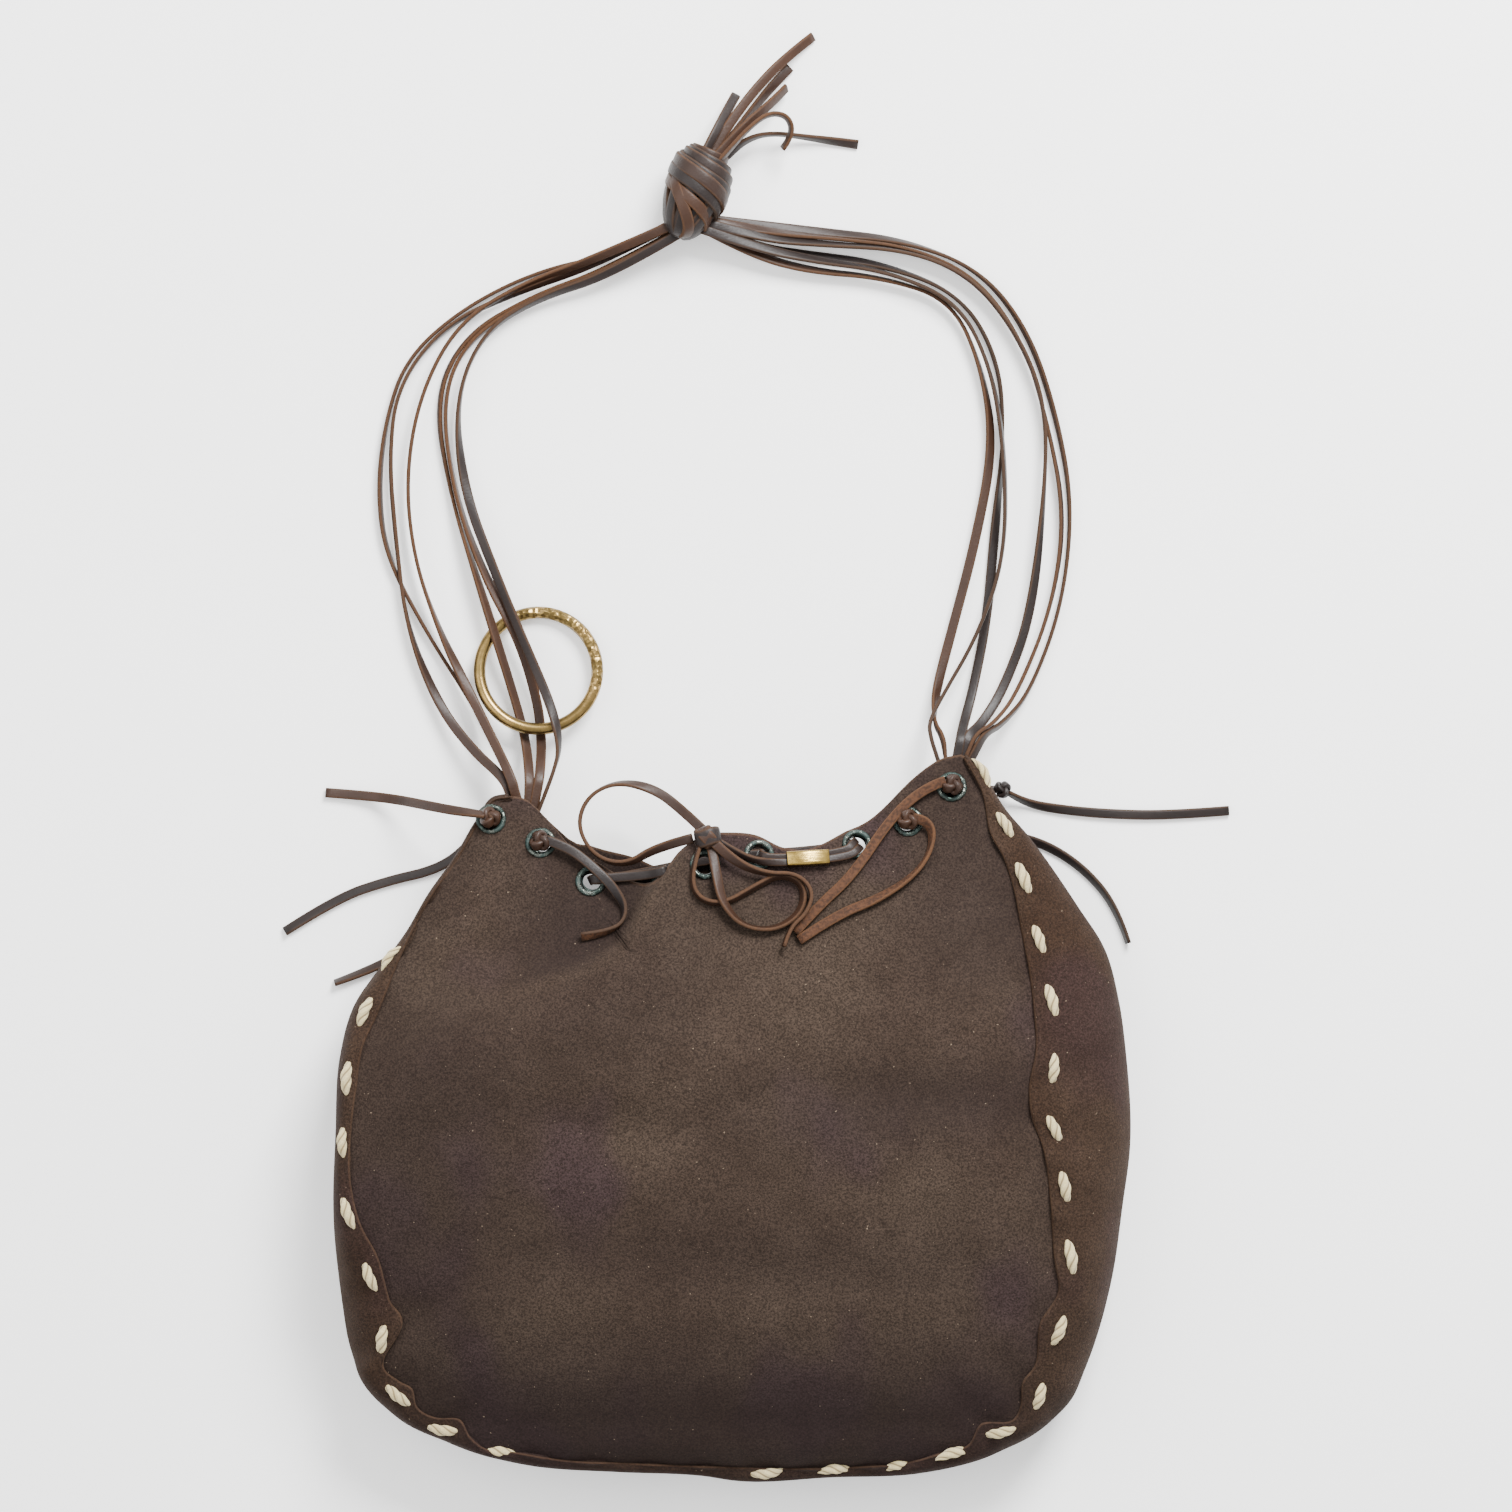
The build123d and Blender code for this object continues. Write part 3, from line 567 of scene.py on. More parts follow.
# %% [markdown]
# Old plate wears through unevenly. Three noises of different size give the rubbed parts, the pits and the
# crust, and the eyelets, the ring and the slider differ only in colours and in how much crust they carry.

# %% Aged metal
def aged_metal(name, bright, dull, deep, green, green_share):
    """Plated brass, bright where it is rubbed, dull and darker in between, green where it has reacted."""
    made = Finish(name, Specular_IOR_Level=0.5)
    rubbed = made.rise(made.noise(170.0, 4.0, 0.6), 0.40, 0.62)
    pits = made.rise(made.noise(1500.0, 3.0, 0.7), 0.56, 0.72)
    crust = made.rise(made.noise(420.0, 4.0, 0.65), 0.62 - green_share * 0.3, 0.78 - green_share * 0.3)
    shade = made.mix(rubbed, dull, bright)
    shade = made.mix(pits * 0.6, shade, deep)
    shade = made.mix(crust * min(1.0, green_share * 1.6), shade, green)
    made.set(Base_Color=shade, Metallic=1.0 - crust * min(1.0, green_share * 1.6) * 0.85,
             Roughness=0.30 + pits * 0.22 + crust * 0.3 - rubbed * 0.06)
    return made, crust


def eyelet_metal():
    made, crust = aged_metal("eyelet metal", colour(86, 90, 84), colour(46, 56, 52),
                             colour(22, 30, 28), colour(20, 40, 36), 0.62)
    made.bump(crust * 0.6 + made.noise(1800.0) * 0.3, 0.00025)
    return made.material


def ring_metal():
    """The ring's brass, hammered and crosshatched along its upper right."""
    made, _ = aged_metal("ring brass", colour(142, 117, 72), colour(116, 97, 58),
                         colour(74, 62, 36), colour(90, 82, 52), 0.10)
    x, y, _ = made.parts()
    upper_right = made.rise(x + y - (RING_CENTRE[0] + RING_CENTRE[1]), 0.006, 0.020)
    hammered = made.node("ShaderNodeTexVoronoi", 0, (), {"Vector": made.place, "Scale": 620.0})
    made.bump(hammered * upper_right * 1.4 + made.noise(700.0, 3.0) * 0.08, 0.0004)
    return made.material


def slider_metal():
    """Pale brass with fine scratches along the tube."""
    made, _ = aged_metal("slider brass", colour(168, 142, 78), colour(128, 106, 56),
                         colour(70, 56, 28), colour(104, 92, 50), 0.2)
    scratches = made.noise(900.0, 3.0, 0.6, made.stretched(0.08, 1.0, 1.0))
    made.bump(scratches, 0.00012)
    return made.material


RING_CENTRE = (-0.0647, 0.1482, 0.005)
EYELET_METAL = eyelet_metal()
RING_METAL = ring_metal()
SLIDER_METAL = slider_metal()


# %% [markdown]
# The floor is staging and no part of the bag. It glows faintly, so that it stays nearly white under the
# soft light without making the leather too bright.

# %% Floor
def floor():
    """A pale sheet with the faintest mottling, far larger than the view."""
    half, below_feet = 4.0, 0.0002
    made = Finish("floor", Roughness=0.9, Specular_IOR_Level=0.1, Emission_Strength=0.36)
    made.set(Base_Color=made.mix(made.noise(6.0), colour(244, 244, 243), colour(250, 250, 250)),
             Emission_Color=colour(255, 255, 255))
    mesh = bpy.data.meshes.new("floor")
    corners = [(-half, -half, 0), (half, -half, 0), (half, half, 0), (-half, half, 0)]
    mesh.from_pydata(corners, [], [(0, 1, 2, 3)])
    plane = bpy.data.objects.new("floor", mesh)
    plane.location.z = -below_feet
    bpy.context.collection.objects.link(plane)
    mesh.materials.append(made.material)
    plane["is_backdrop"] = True


floor()
print("materials", sorted(m.name for m in bpy.data.materials if m.users))


# %% [markdown]
# ## The shape of the filled bag
#
# The front is cut flat and takes its shape from what is inside it: it is highest below the middle, rolls
# over at the foot, and falls in a long slope to the mouth. Gathering the drawstring folds the mouth over to
# the left, and the fold runs on as a soft diagonal ridge to the left seam. "skin" gives the height of the
# front's outside anywhere, and every eyelet, stitch and lace on the front takes its height from it.

# %% Outlines, in metres
SILHOUETTE = [
    (-0.0733, 0.1068), (-0.0793, 0.1062), (-0.0847, 0.0988), (-0.0923, 0.0858), (-0.1008, 0.0742),
    (-0.1077, 0.0622), (-0.1170, 0.0495), (-0.1250, 0.0378), (-0.1297, 0.0205), (-0.1310, -0.0048),
    (-0.1317, -0.0342), (-0.1293, -0.0612), (-0.1268, -0.0758), (-0.1223, -0.0872), (-0.1103, -0.0992),
    (-0.0930, -0.1075), (-0.0700, -0.1142), (-0.0383, -0.1170), (-0.0093, -0.1185), (0.0003, -0.1200),
    (0.0353, -0.1188), (0.0613, -0.1175), (0.0870, -0.1108), (0.1037, -0.1015), (0.1118, -0.0938),
    (0.1170, -0.0825), (0.1253, -0.0548), (0.1293, -0.0282), (0.1316, -0.0105), (0.1303, 0.0215),
    (0.1280, 0.0385), (0.1233, 0.0558), (0.1147, 0.0695), (0.0980, 0.0933), (0.0897, 0.1032),
    (0.0850, 0.1108), (0.0803, 0.1178), (0.0765, 0.1205),
]
LAP_EDGE = [
    (-0.0733, 0.1064), (-0.0785, 0.1055), (-0.0838, 0.0983), (-0.0913, 0.0855), (-0.0996, 0.0738),
    (-0.1052, 0.0635),
    (-0.1097, 0.0538), (-0.1173, 0.0345), (-0.1217, 0.0245), (-0.1237, 0.0108), (-0.1257, -0.0082),
    (-0.1257, -0.0178), (-0.1220, -0.0342), (-0.1167, -0.0445), (-0.1130, -0.0585), (-0.1097, -0.0698),
    (-0.1147, -0.0782), (-0.1103, -0.0858), (-0.1057, -0.0885), (-0.1043, -0.0942), (-0.0980, -0.0982),
    (-0.0903, -0.0987), (-0.0867, -0.1045), (-0.0803, -0.1092), (-0.0733, -0.1098), (-0.0560, -0.1128),
    (-0.0380, -0.1138), (-0.0120, -0.1150), (0.0120, -0.1158), (0.0423, -0.1152), (0.0583, -0.1135),
    (0.0678, -0.1105), (0.0780, -0.1072), (0.0820, -0.1002), (0.0927, -0.0988), (0.0953, -0.0925),
    (0.0953, -0.0875), (0.0997, -0.0805), (0.1010, -0.0672), (0.1073, -0.0548), (0.1060, -0.0462),
    (0.1047, -0.0278), (0.1023, -0.0092), (0.0983, 0.0025), (0.0977, 0.0108), (0.1000, 0.0245),
    (0.0995, 0.0352), (0.0980, 0.0488), (0.0953, 0.0635), (0.0933, 0.0748), (0.0897, 0.0865),
    (0.0850, 0.0955), (0.0827, 0.1078), (0.0765, 0.1195),
]
FRONT_EDGE = [
    (-0.0733, 0.1068), (-0.0660, 0.1038), (-0.0610, 0.0988), (-0.0560, 0.0928), (-0.0440, 0.0845),
    (-0.0340, 0.0790), (-0.0270, 0.0782), (-0.0220, 0.0828), (-0.0175, 0.0885), (-0.0130, 0.0920),
    (-0.0080, 0.0942), (-0.0010, 0.0947), (0.0070, 0.0940), (0.0172, 0.0896), (0.0265, 0.0896),
    (0.0359, 0.0943),
    (0.0499, 0.1028), (0.0593, 0.1122), (0.0667, 0.1178), (0.0765, 0.1205),
]
BACK_EDGE = [
    (-0.0733, 0.1068), (-0.0640, 0.1010), (-0.0560, 0.0935), (-0.0470, 0.0900), (-0.0330, 0.0862),
    (-0.0235, 0.0826), (-0.0160, 0.0860), (-0.0090, 0.0910), (0.0077, 0.0910), (0.0220, 0.0880),
    (0.0359, 0.0925), (0.0499, 0.1010),
    (0.0620, 0.1130), (0.0765, 0.1205),
]
CROWN = [
    (-0.1215, 0.0120), (-0.1120, 0.0280), (-0.0980, 0.0370), (-0.0700, 0.0455), (-0.0200, 0.0500),
    (0.0200, 0.0465), (0.0600, 0.0365), (0.1100, 0.0240), (0.1260, 0.0200),
]
FOLD = [
    (-0.1180, 0.0230), (-0.0980, 0.0345), (-0.0700, 0.0440), (-0.0480, 0.0510), (-0.0380, 0.0575),
    (-0.0335, 0.0650), (-0.0285, 0.0745), (-0.0220, 0.0830), (-0.0160, 0.0900), (-0.0100, 0.0970),
]
FOLD_HEIGHT = 0.0075
WIDEST_AT = 0.016        # height of the bag's widest line above the floor
LAP_LIFT = 0.0015        # how far the gusset's outside lies over the front's
ROLL_DROP = 0.0065       # how far the front rolls down towards its seams
CREASE, LOW_CREASE = 0.0016, 0.0012    # depth of the creases across the middle and below it


# %% Outlines read by angle
def by_angle(points):
    """Angle and radius of an outline's points about the origin, the angle rising from the left peak."""
    x, y = np.array(points).T
    return np.unwrap(np.arctan2(y, x)), np.hypot(x, y)


def radius(outline, angle):
    return through(*outline, angle)


silhouette, lap_edge = by_angle(SILHOUETTE), by_angle(LAP_EDGE)
START, END = silhouette[0][0], silhouette[0][-1]


def turned(x, y):
    """The angle of places about the origin, from the middle of the mouth round by the left."""
    angle = np.arctan2(y, x)
    return np.where(angle < pi / 2, angle + 2 * pi, angle)


# %% Heights of the front and the gusset
def fold_side(x, y):
    """How far places lie to the right of the fold, negative to its left."""
    x, y = np.asarray(x, float), np.asarray(y, float)
    nearest = np.full(x.shape, 9.0)
    side = np.ones(x.shape)
    for (x0, y0), (x1, y1) in zip(FOLD, FOLD[1:]):
        dx, dy = x1 - x0, y1 - y0
        share = np.clip(((x - x0) * dx + (y - y0) * dy) / (dx * dx + dy * dy), 0, 1)
        gap = np.hypot(x - x0 - share * dx, y - y0 - share * dy)
        turn = np.where(dy * (x - x0) - dx * (y - y0) >= 0, 1.0, -1.0)
        side = np.where(gap < nearest, turn, side)
        nearest = np.minimum(nearest, gap)
    return nearest * side


def lap_share(x, y):
    """0 in the middle of the bag, 1 at the gusset's lap edge."""
    return np.hypot(x, y) / radius(lap_edge, turned(x, y))


def skin(x, y):
    """Height of the front's outside: crown, roll to the seams, fold, creases and soft dents."""
    x, y = np.asarray(x, float), np.asarray(y, float)
    z = through(*np.array(CROWN).T, y)
    angle = turned(x, y)
    off_mouth = step(0.0, 0.5, np.minimum(angle - START, END - angle)) * step(-0.118, -0.085, y)
    roll = np.clip(lap_share(x, y) - 0.70, 0.0, 0.30) / 0.30
    z = z - off_mouth * ROLL_DROP * roll ** 2
    reach = fold_side(x, y)
    softness = 0.0022 + 0.013 * step(-0.034, -0.075, x)
    rise = step(-1.0, 1.0, reach / softness) * np.exp(-(np.maximum(reach, 0) / 0.045) ** 2)
    z = z + FOLD_HEIGHT * rise * step(-0.122, -0.088, x)
    inner = step(0.97, 0.75, lap_share(x, y))
    z = z - inner * CREASE * np.exp(-((y - 0.004 - 0.10 * x - 0.004 * np.sin(x / 0.017)) / 0.008) ** 2)
    z = z - inner * LOW_CREASE * np.exp(-((y + 0.048 + 0.05 * x) / 0.010) ** 2)
    z = z + 0.0006 * np.sin(x / 0.019 + 1.3 + 0.6 * np.sin(y / 0.027)) * np.sin(y / 0.031 + 0.7)
    return z + 0.0003 * np.sin(x / 0.009 + y / 0.013 + 2.0) * np.sin(y / 0.012 - x / 0.017)


def lap_lift(angle):
    """How far the gusset lies over the front: nothing at the left peak, where it is tucked in."""
    return LAP_LIFT * step(START + 0.22, START + 0.45, angle)


def gusset_section(angle, share):
    """Radius and height of the gusset's outside: share 0 at the lap edge, 1 at the widest line."""
    inner, outer = radius(lap_edge, angle), radius(silhouette, angle)
    width = np.maximum(outer - inner, 0.0012)
    square = 2.0 + 1.3 * step(0.020, 0.006, width)
    top = skin(inner * np.cos(angle), inner * np.sin(angle)) + lap_lift(angle)
    low = np.minimum(WIDEST_AT, top - 0.004)
    height = low + (top - low) * (1 - np.clip(share, 0, 1) ** square) ** (1 / square)
    curl = 0.0007 * (1 + np.sin(41 * angle)) * (1 - share) ** 5
    wrinkle = 0.0007 * np.sin(23 * angle + 2 * np.sin(5 * angle)) * share * (1 - share) * 3
    return inner + share * width, height + curl + wrinkle


def covered(x, y):
    """Height of the bag's outside from above: the skin, and past the lap edge the gusset."""
    angle = turned(x, y)
    inner, outer = radius(lap_edge, angle), radius(silhouette, angle)
    share = (np.hypot(x, y) - inner) / np.maximum(outer - inner, 0.0012)
    _, height = gusset_section(angle, np.clip(share, 0, 0.999))
    at_mouth = (angle < START) | (angle > END)
    return np.where((share > 0) & ~at_mouth, height, skin(x, y))


def outwards(x, y):
    """The way out of the bag's outside at one place."""
    gap = 0.0008
    slope_x = float(covered(x + gap, y) - covered(x - gap, y)) / (2 * gap)
    slope_y = float(covered(x, y + gap) - covered(x, y - gap)) / (2 * gap)
    return unit((-slope_x, -slope_y, 1.0))


print(f"front is {float(skin(0.0, -0.02)) / MM:.1f} mm high below its middle,"
      f" {float(skin(0.0077, 0.09)) / MM:.1f} mm at the mouth")


# %% [markdown]
# ## The two panels
#
# Each panel is one piece of 2 mm suede. It is modelled as a closed sheet: rings of points from the middle
# to the rim, over the rounded cut edge, and back underneath. The front panel goes on a little way under
# the gusset's lap, where the stitches hold it. Holes are punched for the eyelets.

# %% Panels
EYELETS = [
    (-0.0797, 0.0990), (-0.0633, 0.0912), (-0.0467, 0.0786), (-0.0185, 0.0815), (-0.0090, 0.0842),
    (0.0087, 0.0873), (0.0410, 0.0906), (0.0578, 0.0982), (0.0723, 0.1096),
]
PANEL_OVERLAP = 0.004    # how far the front goes on under the gusset's lap
UNDER_FOLD = 3           # the eyelet that the fold hides, so no hole is punched for it
HOLE_RADIUS = 0.0036
RIM = ((0.0006, 0.0), (0.0002, 0.12), (0.0, 0.38), (0.0, 0.62), (0.0002, 0.88), (0.0006, 1.0))


def painted_shades(x, y):
    """Painted shade on the suede: left of the fold, in the creases, where the foot turns under, by the seams,
    at the upper right and left, and along the ridge.
    """
    reach = fold_side(x, y)
    left = step(0.002, -0.003, reach) * step(-0.075, -0.004, reach) * step(-0.09, -0.05, x)
    crease = 0.75 * np.exp(-((y - 0.002 - 0.06 * x) / 0.013) ** 2) * step(-0.03, 0.06, x)
    low = 0.35 * np.exp(-((y + 0.046 + 0.05 * x) / 0.016) ** 2)
    foot = step(-0.052, -0.100, y)
    sides = 0.35 * step(0.86, 1.0, lap_share(x, y))
    upper_right = 0.75 * step(0.035, 0.080, x) * step(0.025, 0.070, y)
    left_side = 0.50 * step(-0.050, -0.090, x) * step(0.060, 0.020, y)
    ridge = 0.30 * step(0.0, 0.006, reach) * step(0.050, 0.020, reach) * step(-0.09, -0.05, x)
    return np.clip(np.maximum.reduce([left, crease, low, foot, sides, upper_right, left_side, ridge]), 0, 1)


def panel(name, reach, top, rings=64, columns=560):
    """A closed sheet of leather. reach gives its rim's radius at each angle, top its outside's height."""
    angle = np.arange(columns) * 2 * pi / columns + pi / 2
    edge = reach(angle)
    profile = [(share, 0.0, 0.0) for share in np.linspace(0.012, 1.0, rings)[:-1]]
    profile += [(1.0, inset, deep) for inset, deep in RIM]
    profile += [(share, 0.0, 1.0) for share in np.linspace(1.0, 0.012, rings // 2)[1:]]
    points, wear = [], []
    for share, inset, deep in profile:
        distance = edge * share - inset
        x, y = distance * np.cos(angle), distance * np.sin(angle)
        height = top(x, y) - deep * LEATHER
        points.append(np.column_stack([x, y, height]))
        wear.append(step(0.0025, 0.0005, edge - distance))
    faces = ring_faces(len(profile), columns)
    last = len(profile) * columns
    points.append(np.array([[0.0, 0.0, float(top(0.0, 0.0))], [0.0, 0.0, float(top(0.0, 0.0)) - LEATHER]]))
    wear.append(np.zeros(2))
    faces += [((j + 1) % columns, j, last) for j in range(columns)]
    foot = (len(profile) - 1) * columns
    faces += [(foot + j, foot + (j + 1) % columns, last + 1) for j in range(columns)]
    points = np.concatenate(points)
    # Each point carries its worn edge and its painted shade.
    return mesh_object(name, points, faces, {
        "edge": np.concatenate(wear), "hollow": painted_shades(points[:, 0], points[:, 1])})


def punched(sheet, places, outward):
    """The sheet with a round hole at each place."""
    pins = []
    for x, y in places:
        bpy.ops.mesh.primitive_cylinder_add(vertices=40, radius=HOLE_RADIUS, depth=0.014)
        pin = bpy.context.object
        z, out = outward(x, y)
        turn = Vector(out).to_track_quat("Z", "Y").to_matrix().to_4x4()
        pin.matrix_world = Matrix.Translation((x, y, z)) @ turn
        bpy.context.view_layer.update()
        pin.data.transform(pin.matrix_world)
        pin.matrix_world = Matrix.Identity(4)
        pins.append(pin)
    cutter = join("pins", pins)
    cut = sheet.modifiers.new("holes", "BOOLEAN")
    cut.object = cutter
    cut.solver = "EXACT"
    bpy.context.view_layer.update()
    ready = sheet.evaluated_get(bpy.context.evaluated_depsgraph_get())
    mesh = bpy.data.meshes.new_from_object(ready)
    sheet.modifiers.remove(cut)
    mesh.name = sheet.name
    sheet.data = mesh
    bpy.data.objects.remove(cutter)
    return sheet


def mouth_and_seam(mouth, seam, beyond):
    """A panel's rim: the mouth's edge between the peaks, and the seam plus an overlap elsewhere."""
    mouth_angle, mouth_radius = by_angle(mouth[::-1])

    def reach(angle):
        lap = np.minimum(beyond, 0.45 * (radius(silhouette, angle) - radius(seam, angle)))
        past = angle - 2 * pi
        upper = through(mouth_angle, mouth_radius, np.where(past > 0, past, angle))
        at_mouth = (angle < START) | (angle > END)
        return np.where(at_mouth, upper, radius(seam, angle) + lap)

    return reach


def front_top(x, y):
    """The front's outside, which goes down under the gusset past the lap edge."""
    angle = turned(x, y)
    tucked = (lap_share(x, y) > 1.0) & (angle > START) & (angle < END)
    return covered(x, y) - np.where(tucked, lap_lift(angle) + 0.0002, 0.0)


BACK_LIFT_FROM = 0.050
BACK_RISE = 0.19


def back_outside(y):
    return BACK_RISE * np.maximum(np.asarray(y, float) - BACK_LIFT_FROM, 0.0)


def back_top(x, y):
    """The inner side of the back panel, whose outside lies on the floor and lifts towards the mouth."""
    return back_outside(y) + LEATHER


front = panel("front_panel_suede", mouth_and_seam(FRONT_EDGE, lap_edge, PANEL_OVERLAP), front_top)
open_eyelets = EYELETS[:UNDER_FOLD] + EYELETS[UNDER_FOLD + 1:]
punched(front, open_eyelets, lambda x, y: (float(skin(x, y)), outwards(x, y)))
front.data.materials.append(PANEL_SUEDE)
print("front panel", len(front.data.polygons), "faces")

BASE_INSET = 0.0095
base = by_angle([(x * (1 - BASE_INSET / np.hypot(x, y)), y * (1 - BASE_INSET / np.hypot(x, y)))
                 for x, y in SILHOUETTE[1:-1]])
back = panel("back_panel_suede", mouth_and_seam(BACK_EDGE, base, 0.0), back_top, rings=40, columns=400)
# Gathering shifts the layers, so the three middle holes of the back, which hold no lace, aren't under
# the front's. The others are, because laces pass through them.
BACK_EYELETS = EYELETS[:3] + [(-0.0235, 0.0755), (-0.0030, 0.0835), (0.0150, 0.0828)] + EYELETS[6:8] + [
    (0.0765, 0.1085)]
slope_out = unit((0.0, BACK_RISE, -1.0))
punched(back, BACK_EYELETS, lambda x, y: (float(back_outside(y)), slope_out))
back.data.materials.append(PANEL_SUEDE)


# %% [markdown]
# ## The gusset
#
# The gusset is one long strip that runs from peak to peak round the sides and the foot. Its upper edge laps
# over the front panel and is cut by hand, so it waves, and lifts a little between the stitches. It bulges
# round the widest line and turns in under the back panel.

# %% Gusset
GUSSET_THICKNESS = 0.0017


def strip_cut(r, z, x, y):
    """The flat strip that a lofted section unrolls to: greatest width, length along the seam, and area."""
    width = np.hypot(np.diff(r, axis=0), np.diff(z, axis=0)).sum(axis=0)
    stretch = np.hypot(np.diff(x), np.diff(y))
    return float(width.max()), float(stretch.sum()), float((stretch * (width[1:] + width[:-1]) / 2).sum())


def gusset():
    columns = 900
    angle = np.linspace(START + 0.004, END - 0.004, columns)
    inner, outer = radius(lap_edge, angle), radius(silhouette, angle)
    shares = np.concatenate([[0.0, 0.02], np.linspace(0.06, 0.80, 14), [0.86, 0.91, 0.95, 0.98, 1.0]])
    section = [gusset_section(angle, np.full(columns, share)) for share in shares]
    y = outer * np.sin(angle)
    low = section[-1][1]
    floor_height = back_outside(y) + LEATHER + 0.0002
    under = np.minimum(BASE_INSET + 0.004, 0.30 * outer)
    for turn in np.linspace(0.15, pi / 2, 10):
        section.append((outer - under * (1 - cos(turn)), low - (low - floor_height) * sin(turn)))
    section.append((outer - under - 0.003, floor_height))
    r = np.array([part[0] for part in section])
    z = np.array([part[1] for part in section])
    cut = strip_cut(r, z, outer * np.cos(angle), outer * np.sin(angle))
    slope_r, slope_z = np.gradient(r, axis=0), np.gradient(z, axis=0)
    size = np.maximum(np.hypot(slope_r, slope_z), 1e-9)
    r_in, z_in = r + slope_z / size * GUSSET_THICKNESS, z - slope_r / size * GUSSET_THICKNESS
    z_in[0:2] = z[0:2] - GUSSET_THICKNESS
    r_in[0:2] = r[0:2]
    mid_r, mid_z = (r[0] + r_in[0]) / 2 - 0.0006, (z[0] + z_in[0]) / 2
    loop_r = np.concatenate([mid_r[None], r, r_in[::-1]])
    loop_z = np.concatenate([mid_z[None], z, np.maximum(z_in, floor_height)[::-1]])
    rows = loop_r.shape[0]
    points = np.stack([loop_r * np.cos(angle), loop_r * np.sin(angle), loop_z], axis=-1)
    points = points.transpose(1, 0, 2).reshape(-1, 3)
    faces = ring_faces(columns, rows)
    faces.append(tuple(range(rows)))
    faces.append(tuple((columns - 1) * rows + i for i in range(rows))[::-1])
    wear = np.zeros(rows)
    wear[[0, -1, -2]] = 1.0
    wear[1] = 0.8
    # Painted shade on the gusset: darker low down near the floor and round the foot.
    low = step(0.024, 0.004, points[:, 2]) * 0.8 + step(-0.075, -0.105, points[:, 1]) * 0.6
    made = mesh_object("side_gusset_suede", points, faces, {
        "edge": np.tile(wear, columns), "hollow": np.clip(low, 0, 1)})
    made.data.materials.append(GUSSET_SUEDE)
    return made, cut


side, GUSSET_CUT = gusset()


# %% [markdown]
# Leather hardly stretches, so each piece should have the area of its flat cut. The cuts are worked out from
# the outlines: the front with its overlap and the rise over the crown, the back as it lies, and the gusset
# unrolled along its seam.

# %% The cut pieces, laid flat
def flat_cut(outline, overlap, rise):
    """A panel's width, length and area as cut: its outline and overlap, longer by what it rises over."""
    x, y = np.array(outline).T
    area = 0.5 * abs(np.dot(x, np.roll(y, -1)) - np.dot(y, np.roll(x, -1)))
    around = np.hypot(np.diff(x), np.diff(y)).sum()
    width, length = float(np.ptp(x)) + 2 * overlap, (float(np.ptp(y)) + overlap) * rise
    return width, length, float(area + around * overlap) * rise


crown_y, crown_z = np.array(CROWN).T
over_crown = np.hypot(np.diff(crown_y), np.diff(crown_z)).sum() / (crown_y[-1] - crown_y[0])
base_outline = [(r * cos(a), r * sin(a)) for a, r in zip(*base)]
FRONT_CUT = flat_cut(LAP_EDGE + FRONT_EDGE[::-1], PANEL_OVERLAP, over_crown)
BACK_CUT = flat_cut(base_outline + BACK_EDGE[::-1], 0.0, 1.0)
for name, cut in (("front", FRONT_CUT), ("back", BACK_CUT), ("gusset", GUSSET_CUT)):
    print(f"{name} cut {cut[0]:.3f} by {cut[1]:.3f} m, {cut[2]:.4f} square metres")
for piece, node, cut, held, below in ((front, "front_panel", FRONT_CUT, "gathered", [side]),
                                      (back, "back_panel", BACK_CUT, "laid", []),
                                      (side, "side_gusset", GUSSET_CUT, "folded", [back])):
    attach(piece, "bag")
    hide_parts(node)
    print(piece.name, "triangles about", 2 * len(piece.data.polygons))


# %% [markdown]
# ## Rope stitches
#
# The seams are sewn with soft three-strand rope through punched holes. Each stitch shows as a fat twisted
# dash that swells in its middle and dives into the leather at both ends. One stitch is modelled, with its
# strands, and repeated along the seam, a little larger or smaller each time.

# %% Rope stitches
FRONT_STITCHES = [
    (0.0827, 0.1135), (0.0897, 0.0972), (0.0957, 0.0798), (0.1007, 0.0597), (0.1047, 0.0398),
    (0.1052, 0.0172), (0.1053, -0.0022), (0.1087, -0.0212), (0.1107, -0.0442), (0.1070, -0.0687),
    (0.1007, -0.0907), (0.0880, -0.1025), (0.0727, -0.1098), (0.0550, -0.1139), (0.0340, -0.1157),
    (0.0112, -0.1169), (-0.1127, 0.0532), (-0.1207, 0.0358), (-0.1263, 0.0142), (-0.1276, -0.0068),
    (-0.1259, -0.0298), (-0.1188, -0.0508), (-0.1149, -0.0718), (-0.1100, -0.0904), (-0.0953, -0.1017),
    (-0.0770, -0.1094),
]
STRANDS = 3


def rope_stitch(length, thickness, twists):
    """One stitch along X: a twisted spindle, its ends below the leather."""
    rows, columns = 44, 30
    share = np.linspace(0, 1, rows)[:, None]
    around = np.linspace(0, 2 * pi, columns, endpoint=False)[None, :]
    lobes = np.cos(STRANDS * (around - 2 * pi * twists * share))
    swell = np.sin(pi * (0.02 + 0.96 * share)) ** 0.7
    reach = thickness / 2 * swell * (0.91 + 0.09 * lobes)
    x = (share - 0.5) * length + 0 * around
    y = reach * np.cos(around) * 1.08
    arch = thickness * (0.62 * np.sin(pi * share) ** 0.7 - 0.42)
    z = reach * np.sin(around) * 0.85 + arch
    points = np.stack([x, y, z], axis=-1).reshape(-1, 3)
    faces = ring_faces(rows, columns)
    faces.append(tuple(range(columns))[::-1])
    faces.append(tuple((rows - 1) * columns + j for j in range(columns)))
    return mesh_object("stitch", points, faces, {
        "groove": lobes, "twist": share * length * 200 + 0 * around})


